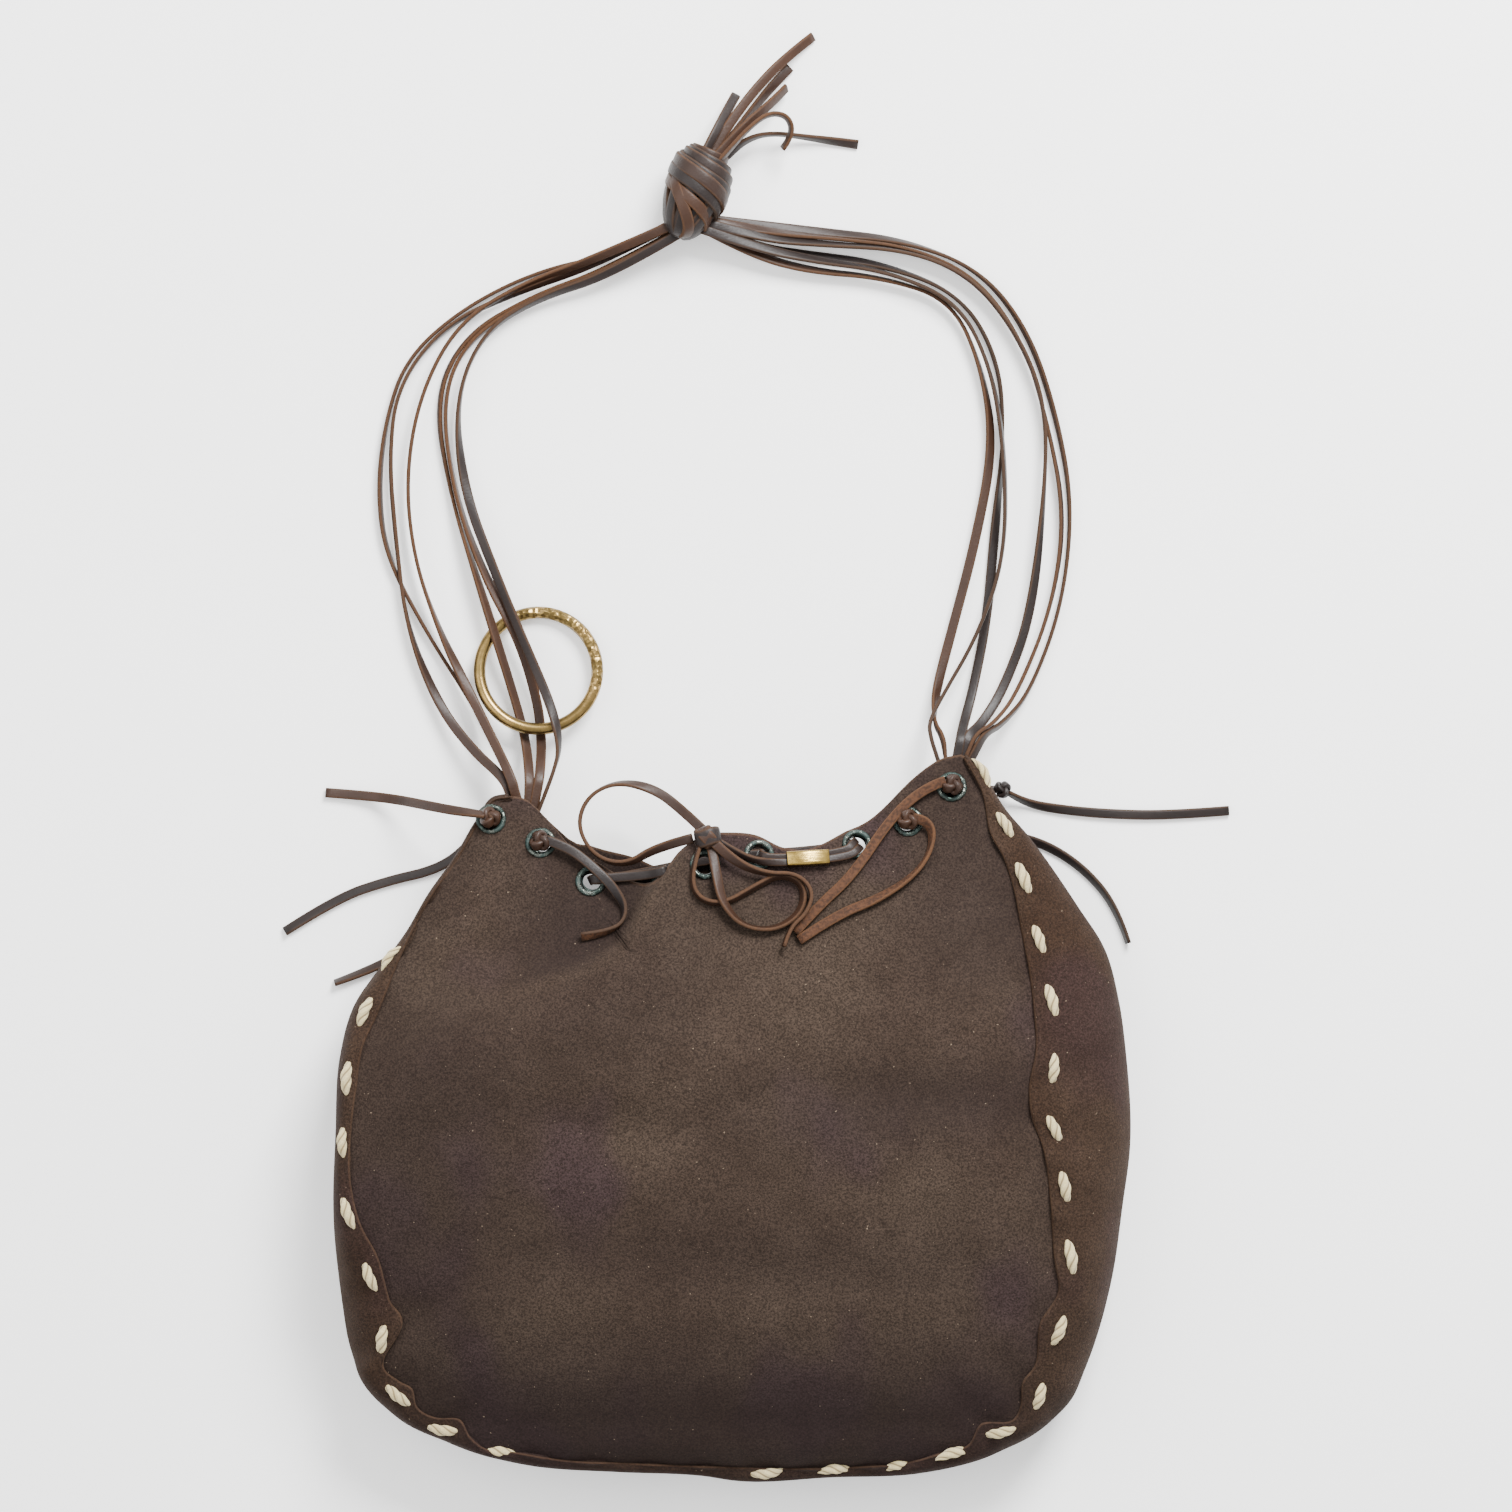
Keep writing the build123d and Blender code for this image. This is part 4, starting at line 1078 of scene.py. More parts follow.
def seam_places(spots, turn_by=0.0):
    """A place on the gusset for each spot: its point, the way out, and the way along the seam."""
    places = []
    for x, y in spots:
        angle = float(turned(x, y))
        ahead = radius(lap_edge, angle + 0.03)
        behind = radius(lap_edge, angle - 0.03)
        along = np.array([ahead * cos(angle + 0.03) - behind * cos(angle - 0.03),
                          ahead * sin(angle + 0.03) - behind * sin(angle - 0.03), 0.0])
        along = Matrix.Rotation(radians(turn_by), 3, "Z") @ Vector(along)
        places.append(((x, y, float(covered(x, y))), outwards(x, y), along))
    return places


stitches = repeated("front_stitches_rope", rope_stitch(0.0126, 0.0036, 1.0), seam_places(FRONT_STITCHES, 7.0),
                    ROPE, spread=0.08, seed=4)
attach(stitches, "bag")
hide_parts("front_seam_stitches")

BACK_STITCH_ANGLES = [float(base[0][i]) for i in range(1, len(base[0]) - 1, 2)]


def back_places():
    """Places under the bag's turned-in edge, where the rope comes out through the gusset."""
    places = []
    for angle in BACK_STITCH_ANGLES:
        r = float(radius(base, angle)) + 0.002
        x, y = r * cos(angle), r * sin(angle)
        if y < 0.07:
            height = float(back_outside(y)) + LEATHER + 0.0012
            out = (cos(angle) * 0.5, sin(angle) * 0.5, -0.85)
            places.append(((x, y, height), out, (-sin(angle), cos(angle), 0)))
    return places


back_stitches = repeated("back_stitches_rope", rope_stitch(0.0085, 0.0028, 0.45), back_places(), ROPE,
                         spread=0.06, seed=9)
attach(back_stitches, "bag")
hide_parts("back_seam_stitches")
print(len(FRONT_STITCHES), "front stitches")


# %% [markdown]
# ## Eyelets
#
# Each eyelet is a two-part brass ring: a barrel with a rolled flange outside, set over a washer inside.
# Greased leather turns old brass green. They are pressed into the suede, so they tilt with it.

# %% Eyelets
def eyelet():
    """A rolled flange and its barrel, turned on a lathe: radius and height of the outline."""
    outline = [(0.0031, -0.0030), (0.0036, -0.0030), (0.0036, 0.0), (0.0049, -0.0001), (0.00505, 0.0002),
               (0.0049, 0.0006), (0.0045, 0.00085), (0.0040, 0.0009), (0.0035, 0.0007), (0.0033, 0.0002)]
    columns = 48
    around = np.arange(columns) * 2 * pi / columns
    points = [(r * cos(a), r * sin(a), z) for r, z in outline for a in around]
    return mesh_object("eyelet", points, ring_faces(len(outline), columns, closed_rows=True))


def washer():
    outline = [(0.0037, -0.0021), (0.0050, -0.0021), (0.0050, -0.0027), (0.0037, -0.0027)]
    columns = 40
    around = np.arange(columns) * 2 * pi / columns
    points = [(r * cos(a), r * sin(a), z) for r, z in outline for a in around]
    return mesh_object("washer", points, ring_faces(len(outline), columns, closed_rows=True))


front_places = [((x, y, float(skin(x, y)) + 0.1 * MM), outwards(x, y), (1, 0, 0)) for x, y in EYELETS]
# The hidden one lies at the height of the leather just left of the fold.
beside = (EYELETS[UNDER_FOLD][0] - 0.006, EYELETS[UNDER_FOLD][1])
under = (*EYELETS[UNDER_FOLD], float(skin(*beside)) + 0.1 * MM)
front_places[UNDER_FOLD] = (under, outwards(*beside), (1, 0, 0))
back_eyelet_places = [((x, y, float(back_outside(y))), slope_out, (1, 0, 0)) for x, y in BACK_EYELETS]
for side_name, places in (("front", front_places), ("back", back_eyelet_places)):
    rings = repeated(f"{side_name}_eyelets_brass", eyelet(), places, EYELET_METAL)
    washers = repeated(f"{side_name}_washers_brass", washer(), places, EYELET_METAL)
    for piece, node in ((rings, f"{side_name}_eyelets"), (washers, f"{side_name}_eyelet_washers")):
        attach(piece, "bag")
        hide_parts(node)


# %% [markdown]
# ## Ring and slider
#
# The ring is cast, so its section is true and only its surface is worked. The slider is a flattened tube
# that grips the two ends of the drawstring.

# %% Ring and slider
SLIDER_SIZE = (0.014, 0.0049, 0.0036)
SLIDER_CENTRE = (0.0247, 0.0862)
SLIDER_TURN = 5.0
SLIDER_LIFT = 0.0023


def slider():
    """A flattened tube with rounded corners, open at both ends."""
    length, width, height = SLIDER_SIZE
    around = np.arange(40) * 2 * pi / 40
    across = np.sign(np.cos(around)) * np.abs(np.cos(around)) ** 0.35
    up = np.sign(np.sin(around)) * np.abs(np.sin(around)) ** 0.35
    wall, bevel = 0.00045, 0.00015
    rows = [(-length / 2, wall), (-length / 2, bevel), (bevel - length / 2, 0.0), (length / 2 - bevel, 0.0),
            (length / 2, bevel), (length / 2, wall)]
    points = []
    for x, inset in rows:
        points += [(x, a * (width / 2 - inset), b * (height / 2 - inset)) for a, b in zip(across, up)]
    made = mesh_object("slider", points, ring_faces(len(rows), 40, closed_rows=True))
    x, y = SLIDER_CENTRE
    turn = radians(SLIDER_TURN)
    place = ((x, y, float(skin(x, y)) + SLIDER_LIFT), outwards(x, y), (cos(turn), sin(turn), 0.0))
    return repeated("drawstring_slider_brass", made, [place], SLIDER_METAL)


tube = slider()
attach(tube, "slider")
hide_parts("drawstring_slider")
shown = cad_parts["carry_ring"]
shown.data.materials.clear()
shown.data.materials.append(RING_METAL)


# %% [markdown]
# ## The laces
#
# All laces are flat strips of greased leather, 3.3 by 1.3 mm and a little narrower where they are drawn
# tight, limp enough to fall into long curves.
# They were coiled for years, so most of them stand on edge for part of their way and twist over to the
# flat side elsewhere. Each route below is the line of one lace; strap laces run from the knot to the bag.


# %% Routes
STRAP_LEFT = [
    [(-0.019, 0.2975, 0.008), (-0.0393, 0.2862, 0.003), (-0.0648, 0.2815, 0.0012), (-0.0903, 0.2688, 0.0012),
     (-0.109, 0.252, 0.0012), (-0.1158, 0.231, 0.0012), (-0.1182, 0.208, 0.0012), (-0.1155, 0.1862, 0.0012),
     (-0.102, 0.1608, 0.0012), (-0.0895, 0.1415, 0.003), (-0.0795, 0.1245, 0.0085), (-0.0725, 0.1128, 0.015)],
    [(-0.0188, 0.297, 0.011), (-0.044, 0.284, 0.005), (-0.0733, 0.2738, 0.0032), (-0.0963, 0.263, 0.0032),
     (-0.1117, 0.2432, 0.0032), (-0.1145, 0.219, 0.0032), (-0.1123, 0.1922, 0.0032),
     (-0.1087, 0.1628, 0.0032), (-0.098, 0.1365, 0.0036), (-0.0863, 0.1215, 0.008),
     (-0.0758, 0.1125, 0.0148)],
    [(-0.0186, 0.2965, 0.014), (-0.046, 0.2848, 0.0075), (-0.07, 0.2768, 0.0052), (-0.0915, 0.264, 0.0052),
     (-0.1042, 0.24, 0.0052), (-0.1089, 0.212, 0.0052), (-0.106, 0.1848, 0.0052), (-0.0975, 0.161, 0.0052),
     (-0.089, 0.1438, 0.0062), (-0.0798, 0.1255, 0.011), (-0.0734, 0.1128, 0.0172)],
    [(-0.0166, 0.295, 0.0074), (-0.04, 0.2818, 0.003), (-0.066, 0.2735, 0.0012), (-0.089, 0.2605, 0.0012),
     (-0.0995, 0.239, 0.0012), (-0.094, 0.206, 0.0016), (-0.0856, 0.1808, 0.0064), (-0.0786, 0.1585, 0.007),
     (-0.0726, 0.139, 0.0032), (-0.069, 0.1255, 0.003), (-0.0673, 0.1132, 0.015)],
    [(-0.0164, 0.2945, 0.0104), (-0.042, 0.2798, 0.005), (-0.068, 0.2713, 0.0032), (-0.0895, 0.2575, 0.0032),
     (-0.097, 0.237, 0.0032), (-0.0925, 0.206, 0.0038), (-0.0822, 0.1788, 0.0064), (-0.0712, 0.159, 0.0064),
     (-0.0652, 0.139, 0.0032), (-0.0636, 0.1255, 0.003), (-0.0638, 0.1138, 0.015)],
    [(-0.0162, 0.294, 0.0134), (-0.04, 0.28, 0.008), (-0.0647, 0.2723, 0.0052), (-0.0835, 0.2605, 0.0052),
     (-0.0925, 0.238, 0.0052), (-0.0895, 0.208, 0.0052), (-0.079, 0.1805, 0.008), (-0.0695, 0.158, 0.009),
     (-0.0595, 0.1348, 0.012), (-0.0572, 0.1225, 0.014), (-0.0595, 0.1142, 0.0164)],
]
STRAP_RIGHT = [
    [(-0.0085, 0.2982, 0.0074), (0.009, 0.2965, 0.004), (0.03, 0.2942, 0.0016), (0.058, 0.2915, 0.0012),
     (0.0827, 0.2815, 0.0012), (0.0985, 0.261, 0.0012), (0.1078, 0.233, 0.0012), (0.1132, 0.203, 0.0012),
     (0.1098, 0.17, 0.0012), (0.099, 0.141, 0.002), (0.0895, 0.1302, 0.0085), (0.0834, 0.1272, 0.0166)],
    [(-0.0082, 0.2964, 0.0126), (0.01, 0.2918, 0.0076), (0.0292, 0.2902, 0.0052), (0.058, 0.2882, 0.0052),
     (0.079, 0.2795, 0.0052), (0.094, 0.2615, 0.0052), (0.1035, 0.239, 0.0052), (0.1044, 0.215, 0.0052),
     (0.0997, 0.168, 0.0052), (0.0903, 0.1425, 0.0052), (0.0826, 0.1304, 0.0105), (0.078, 0.1268, 0.0164)],
    [(-0.008, 0.2974, 0.01), (0.012, 0.294, 0.0066), (0.034, 0.292, 0.0034), (0.06, 0.289, 0.0032),
     (0.082, 0.2785, 0.0032), (0.097, 0.257, 0.0032), (0.105, 0.23, 0.0032), (0.1106, 0.2, 0.0032),
     (0.1065, 0.17, 0.0032), (0.0948, 0.141, 0.006), (0.0866, 0.1306, 0.0152), (0.0807, 0.1272, 0.0172)],
    [(-0.0102, 0.2958, 0.0078), (0.006, 0.2895, 0.004), (0.024, 0.2866, 0.0014), (0.05, 0.2838, 0.0012),
     (0.076, 0.2735, 0.0012), (0.0885, 0.252, 0.0012), (0.0904, 0.226, 0.0012), (0.0873, 0.196, 0.0012),
     (0.0848, 0.166, 0.0012), (0.08, 0.142, 0.0034), (0.0768, 0.131, 0.0095), (0.0756, 0.1265, 0.017)],
    [(-0.01, 0.2952, 0.0106), (0.006, 0.2868, 0.0062), (0.0247, 0.2814, 0.0034), (0.05, 0.2792, 0.0032),
     (0.073, 0.2715, 0.0032), (0.083, 0.249, 0.0032), (0.0869, 0.223, 0.0032), (0.0805, 0.19, 0.0032),
     (0.073, 0.162, 0.0032), (0.0674, 0.141, 0.0046), (0.0666, 0.131, 0.01), (0.0696, 0.126, 0.017)],
    [(-0.0104, 0.2946, 0.0132), (0.008, 0.2886, 0.0086), (0.028, 0.2846, 0.0054), (0.051, 0.2812, 0.0052),
     (0.075, 0.271, 0.0052), (0.086, 0.249, 0.0052), (0.0906, 0.22, 0.0052), (0.0906, 0.186, 0.0052),
     (0.0815, 0.16, 0.0052), (0.0695, 0.1395, 0.0076), (0.065, 0.131, 0.013), (0.0656, 0.1258, 0.017)],
]
KNOT_ENDS = [
    [(-0.0068, 0.3205, 0.012), (0.0005, 0.332, 0.011), (0.0085, 0.3425, 0.009), (0.0175, 0.352, 0.0055),
     (0.0267, 0.3595, 0.0014)],
    [(-0.0046, 0.3198, 0.0094), (0.0025, 0.3295, 0.0076), (0.0095, 0.3385, 0.0048), (0.0145, 0.3445, 0.0024),
     (0.019, 0.3492, 0.0012)],
    [(-0.0044, 0.3196, 0.0146), (0.004, 0.3285, 0.014), (0.0105, 0.3345, 0.0105), (0.0145, 0.3385, 0.0065),
     (0.0178, 0.3422, 0.0035)],
    [(-0.0086, 0.3208, 0.0148), (-0.005, 0.328, 0.013), (-0.002, 0.334, 0.009), (0.001, 0.3398, 0.004)],
    [(-0.0026, 0.3184, 0.012), (0.0045, 0.3245, 0.011), (0.013, 0.327, 0.007), (0.027, 0.3255, 0.002),
     (0.0417, 0.3235, 0.0012)],
    [(-0.0028, 0.3186, 0.0166), (0.005, 0.3275, 0.0166), (0.012, 0.333, 0.015), (0.0184, 0.332, 0.0136),
     (0.02, 0.326, 0.0115), (0.0165, 0.3215, 0.01)],
]
ROOTS_LEFT = [
    [(-0.0725, 0.1106, 0.0164), (-0.0746, 0.1045, 0.0174), (-0.0789, 0.0976, 0.021),
     (-0.0797, 0.1001, 0.0315)],
    [(-0.0673, 0.111, 0.0154), (-0.0655, 0.103, 0.0156), (-0.0634, 0.0936, 0.0205), (-0.0633, 0.0906, 0.026),
     (-0.0633, 0.0922, 0.033)],
    [(-0.075, 0.1103, 0.0146), (-0.0756, 0.104, 0.0144), (-0.0786, 0.0986, 0.0138),
     (-0.0797, 0.0997, 0.0062)],
    [(-0.0636, 0.1116, 0.0152), (-0.0626, 0.1035, 0.0142), (-0.0632, 0.095, 0.0132),
     (-0.0633, 0.0905, 0.0116), (-0.0633, 0.0918, 0.0048)],
]
ROOTS_RIGHT = [
    [(0.0774, 0.1236, 0.0176), (0.0736, 0.1182, 0.018), (0.0726, 0.1106, 0.0188), (0.0723, 0.1088, 0.0215),
     (0.0723, 0.1106, 0.028)],
    [(0.0652, 0.122, 0.0166), (0.0615, 0.115, 0.0166), (0.0582, 0.102, 0.0184), (0.0578, 0.0976, 0.0225),
     (0.0578, 0.0992, 0.0315)],
    [(0.0798, 0.1232, 0.0164), (0.0756, 0.1184, 0.017), (0.0752, 0.1115, 0.0162), (0.0762, 0.1078, 0.0132),
     (0.0775, 0.1089, 0.0084), (0.0826, 0.1086, 0.007), (0.0886, 0.1087, 0.0062)],
    [(0.0694, 0.1226, 0.0164), (0.065, 0.1145, 0.0166), (0.059, 0.1035, 0.0156), (0.0578, 0.0975, 0.013),
     (0.0578, 0.0988, 0.0062)],
]
TAILS = {
    "tail_left_top": [
        (-0.0814, 0.1004, 0.0306), (-0.091, 0.1016, 0.0275), (-0.102, 0.1036, 0.0175),
        (-0.112, 0.1054, 0.006), (-0.1235, 0.1067, 0.0012), (-0.1357, 0.1076, 0.0012)],
    "tail_left_back_upper": [
        (-0.0816, 0.0976, 0.0048), (-0.089, 0.0885, 0.0022), (-0.099, 0.0818, 0.0012),
        (-0.115, 0.0782, 0.0012), (-0.132, 0.0724, 0.0012), (-0.1493, 0.0613, 0.0012)],
    "tail_left_back_lower": [
        (-0.0652, 0.0898, 0.0034), (-0.0735, 0.0825, 0.002), (-0.086, 0.0715, 0.0012),
        (-0.1, 0.0605, 0.0012), (-0.116, 0.0502, 0.0012), (-0.1327, 0.0442, 0.0012)],
    "tail_right_back_upper": [
        (0.0916, 0.1076, 0.005), (0.0975, 0.104, 0.0016), (0.1102, 0.1018, 0.0012), (0.126, 0.1004, 0.0012),
        (0.1455, 0.1, 0.0012), (0.1653, 0.1016, 0.0012)],
    "tail_right_back_lower": [
        (0.0598, 0.0974, 0.0044), (0.072, 0.0946, 0.0022), (0.086, 0.0942, 0.0012), (0.102, 0.0916, 0.0012),
        (0.1165, 0.0828, 0.0012), (0.1278, 0.0695, 0.0012), (0.1317, 0.0574, 0.0012)],
}
FRONT_TAILS = {
    "tail_left_front": [
        (-0.0614, 0.0922, 0.004), (-0.0545, 0.09, 0.0032), (-0.0465, 0.084, 0.0034),
        (-0.039, 0.0766, 0.0034), (-0.0346, 0.069, 0.0016), (-0.0382, 0.062, 0.0015),
        (-0.0497, 0.0604, 0.0015)],
    "tail_right_outer": [
        (0.0702, 0.1116, 0.0036), (0.0635, 0.1095, 0.0026), (0.0522, 0.0996, 0.0024),
        (0.0395, 0.0806, 0.002), (0.0285, 0.0708, 0.0016), (0.0205, 0.062, 0.0016)],
    "tail_right_inner": [
        (0.0596, 0.0994, 0.0042), (0.065, 0.0986, 0.003), (0.066, 0.0905, 0.0016), (0.061, 0.0815, 0.0016),
        (0.0485, 0.073, 0.0016), (0.034, 0.0676, 0.0016), (0.0218, 0.0594, 0.0016)],
    "bow_loop_upper": [
        (-0.0096, 0.0954, 0.0034), (-0.0155, 0.101, 0.0026), (-0.0255, 0.109, 0.0014),
        (-0.038, 0.1116, 0.0006), (-0.048, 0.1066, 0.0006), (-0.0514, 0.0966, 0.0014),
        (-0.0454, 0.0864, 0.0026), (-0.035, 0.0836, 0.0024), (-0.025, 0.0898, 0.0026),
        (-0.0132, 0.0928, 0.003)],
    "bow_loop_lower": [
        (-0.0106, 0.0906, 0.0026), (-0.014, 0.081, 0.0022), (-0.0116, 0.0729, 0.0016),
        (-0.003, 0.0709, 0.0016), (0.007, 0.0766, 0.0016), (0.016, 0.0814, 0.0016), (0.0236, 0.0776, 0.0016),
        (0.0228, 0.0686, 0.0016), (0.014, 0.0626, 0.0016), (0.003, 0.064, 0.0024), (-0.0034, 0.072, 0.0036),
        (-0.0052, 0.0805, 0.0034), (-0.007, 0.0906, 0.0028)],
    "bow_end": [
        (-0.0062, 0.0916, 0.0048), (0.0005, 0.085, 0.0042), (0.011, 0.0809, 0.0036), (0.021, 0.0814, 0.0036),
        (0.0266, 0.0756, 0.0036), (0.0244, 0.0684, 0.0036), (0.0186, 0.0636, 0.0036),
        (0.0168, 0.0574, 0.0032)],
}
DRAWSTRING = {
    "drawstring_left": [
        (-0.0469, 0.0788, -0.0014), (-0.0465, 0.0792, 0.002), (-0.04, 0.0798, 0.0016),
        (-0.029, 0.0806, 0.0016), (-0.0223, 0.082, 0.002), (-0.0217, 0.0824, -0.0014)],
    "drawstring_knot_side": [
        (-0.0049, 0.0918, 0.0032), (0.0025, 0.087, 0.0024), (0.0128, 0.08428, 0.0023),
        (0.0376, 0.08645, 0.0023), (0.0418, 0.0894, 0.0022), (0.042, 0.0899, -0.0014)],
    "drawstring_mouth_side": [
        (0.0087, 0.0878, -0.0014), (0.0092, 0.0874, 0.0022), (0.0135, 0.08608, 0.0023),
        (0.037, 0.08814, 0.0023), (0.04, 0.0914, 0.0022), (0.0406, 0.0919, -0.0014)],
}
DRAWSTRING_BACK = [
    (-0.0467, 0.0788, 0.004), (-0.0462, 0.0784, 0.0096), (-0.032, 0.0804, 0.0106), (-0.004, 0.0865, 0.0114),
    (0.024, 0.088, 0.0118), (0.04, 0.0904, 0.012), (0.041, 0.091, 0.0064)]


# %% Free laces
def floor_height(x, y):
    return np.full(np.shape(x), 0.0)


def bag_height(x, y):
    """The ground under a lace on the front: the bag's outside."""
    return covered(x, y)


def on_front(points):
    """Route points x, y and lift, as x, y, z over the front."""
    return [(x, y, float(skin(x, y)) + lift) for x, y, lift in points]


def free_lace(name, points, node, exit_point, far_end, body="bag", **look):
    """A lace that stands for its CAD node, which it hides."""
    made, line = strip(name, smooth_line(points), **look)
    made.data.materials.append(LACE)
    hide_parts(node)
    if body:
        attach(made, body)
    return made


# How each strap lace lies: (share of the length from the bag, degrees), 0 flat and 90 on edge.
STRAP_TURNS = {
    "left": [
        [(0, 90), (0.30, 90), (0.45, 75), (0.60, 90), (0.85, 80), (1, 30)],
        [(0, 30), (0.15, 0), (0.30, 80), (0.60, 90), (0.80, 60), (1, 10)],
        [(0, 10), (0.18, 0), (0.30, 75), (0.50, 90), (0.75, 80), (1, 0)],
        [(0, 0), (0.15, 35), (0.30, 40), (0.45, 90), (0.80, 80), (1, 0)],
        [(0, 10), (0.25, 0), (0.45, 70), (0.60, 90), (0.80, 60), (1, 0)],
        [(0, 90), (0.10, 85), (0.18, 10), (0.45, 0), (0.60, 80), (0.85, 40), (1, 0)],
    ],
    "right": [
        [(0, 20), (0.15, 80), (0.30, 90), (0.70, 90), (0.85, 30), (1, 0)],
        [(0, 0), (0.22, 10), (0.40, 80), (0.70, 90), (0.90, 40), (1, 0)],
        [(0, 60), (0.14, 90), (0.35, 75), (0.60, 90), (0.85, 80), (1, 10)],
        [(0, 0), (0.30, 0), (0.45, 80), (0.70, 80), (0.88, 10), (1, 0)],
        [(0, 30), (0.07, 110), (0.16, 20), (0.40, 10), (0.60, 80), (0.85, 50), (1, 0)],
        [(0, 80), (0.20, 90), (0.50, 75), (0.70, 90), (0.90, 30), (1, 0)],
    ],
}
STRAP_TONES = {"left": [0.60, 0.50, 0.75, 0.85, 0.90, 0.30], "right": [0.40, 0.25, 0.60, 0.05, 0.65, 0.10]}
INTO_MOUTH = {"left": (-0.0680, 0.0920, 0.0155), "right": (0.0720, 0.1060, 0.0165)}


def strap_lace(side_name, number, route):
    """One strap lace, from inside the mouth to the knot."""
    end, deep = Vector(route[-1]), Vector(INTO_MOUTH[side_name])
    inside = [tuple(end.lerp(deep, share)) for share in (0.3, 0.6, 0.9)]
    made = free_lace(f"strap_lace_{side_name}_{number}_leather", inside[::-1] + route[::-1],
                     f"strap_lace_{side_name}_{number}", end, "knot", body=None,
                     turns=STRAP_TURNS[side_name][number - 1], tone=STRAP_TONES[side_name][number - 1],
                     ground=floor_height)
    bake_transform(made)


for side_name, routes in (("left", STRAP_LEFT), ("right", STRAP_RIGHT)):
    for number, route in enumerate(routes, start=1):
        strap_lace(side_name, number, route)

END_LOOKS = [([(0, 0), (1, 30)], 0.75), ([(0, 20), (0.5, 60), (1, 10)], 0.5), ([(0, 0), (1, 50)], 0.65),
             ([(0, 40), (1, 0)], 0.3), ([(0, 20), (0.5, 80), (1, 30)], 0.35),
             ([(0, 60), (0.5, 80), (1, 60)], 0.7)]
for number, (route, (turns, tone)) in enumerate(zip(KNOT_ENDS, END_LOOKS), start=1):
    inside = [tuple(np.array(route[0]) + (np.array(route[0]) - np.array(route[1])) * 0.9)]
    node = f"strap_knot_end_{number}"
    free_lace(f"{node}_leather", inside + route, node, route[0], "bare", body="strap", turns=turns, tone=tone,
              ground=floor_height)

TAIL_LOOKS = {
    "tail_left_top": ([(0, 60), (0.2, 20), (1, 10)], 0.60),
    "tail_left_back_upper": ([(0, 30), (0.4, 10), (1, 30)], 0.25),
    "tail_left_back_lower": ([(0, 0), (0.6, 20), (1, 60)], 0.45),
    "tail_right_back_upper": ([(0, 70), (0.25, 20), (1, 10)], 0.25),
    "tail_right_back_lower": ([(0, 0), (0.5, 30), (1, 70)], 0.0),
}
for name, (turns, tone) in TAIL_LOOKS.items():
    free_lace(f"{name}_leather", TAILS[name], name, TAILS[name][0], "bare", turns=turns, tone=tone,
              ground=floor_height)

FRONT_LOOKS = {
    "tail_left_front": ([(0, 0), (0.45, 0), (0.68, 70), (0.80, 110), (1, 150)], 0.15, "bare"),
    "tail_right_outer": ([(0, 180), (0.5, 190), (1, 180)], 1.0, "bare"),
    "tail_right_inner": ([(0, 180), (0.2, 250), (0.45, 240), (0.7, 200), (1, 180)], 1.0, "bare"),
    "bow_loop_upper": ([(0, 0), (0.20, 10), (0.38, 80), (0.70, 75), (0.85, 40), (1, 0)], 0.55, "object"),
    "bow_loop_lower": ([(0, 80), (0.25, 62), (0.55, 60), (0.75, 75), (0.85, 40), (1, 0)], 0.60, "object"),
    "bow_end": ([(0, 0), (0.4, 70), (0.8, 85), (1, 80)], 0.60, "bare"),
    "drawstring_left": ([(0, 0), (1, 0)], 0.05, "object"),
    "drawstring_knot_side": ([(0, 0), (0.25, 40), (0.4, 0), (1, 0)], 0.35, "object"),
    "drawstring_mouth_side": ([(0, 0), (1, 0)], 0.35, "object"),
}
DRAWSTRING_WIDTH = 0.0026
for name, (turns, tone, far_end) in FRONT_LOOKS.items():
    route = on_front((FRONT_TAILS | DRAWSTRING)[name])
    thin = {"width": DRAWSTRING_WIDTH} if name in ("drawstring_knot_side", "drawstring_mouth_side") else {}
    under = None if name in DRAWSTRING else bag_height
    free_lace(f"{name}_leather", route, name, route[0], far_end, turns=turns, tone=tone, ground=under, **thin)
free_lace("drawstring_back_leather", DRAWSTRING_BACK, "drawstring_back", DRAWSTRING_BACK[0], "object",
          turns=[(0, 0), (1, 0)], tone=0.2)


# %% [markdown]
# ## Knots
#
# The strap's laces meet in one big overhand knot. Its lower half is the laces fanning in, nearly side by
# side; its upper half is the turns that wrap round them on a slant; above a narrow collar the ends fan out.
# The eyelet laces end in small single knots too large to pull through.

# %% Small knots
def small_knot(name, centre, size, out, tone=0.3):
    """An overhand knot drawn tight, as one closed strip on a trefoil line."""
    t = np.linspace(0, 2 * pi, 120, endpoint=False)
    x, y = np.sin(t) + 2 * np.sin(2 * t), np.cos(t) - 2 * np.cos(2 * t)
    line = np.stack([x, y, -1.25 * np.sin(3 * t)], axis=1)
    line = line * size / 3.6
    turn = np.array(Vector(out).to_track_quat("Z", "Y").to_matrix())
    away = unit(line) @ turn.T
    made, _ = strip(name, line @ turn.T + np.array(centre), width=size * 1.05, thickness=size * 0.62,
                    out=away, tone=tone, closed=True, grain_only=True)
    return made


def finished_knots(name, knots, node, body="bag"):
    made = join(name, knots)
    made.data.materials.append(LACE)
    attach(made, body)
    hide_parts(node)


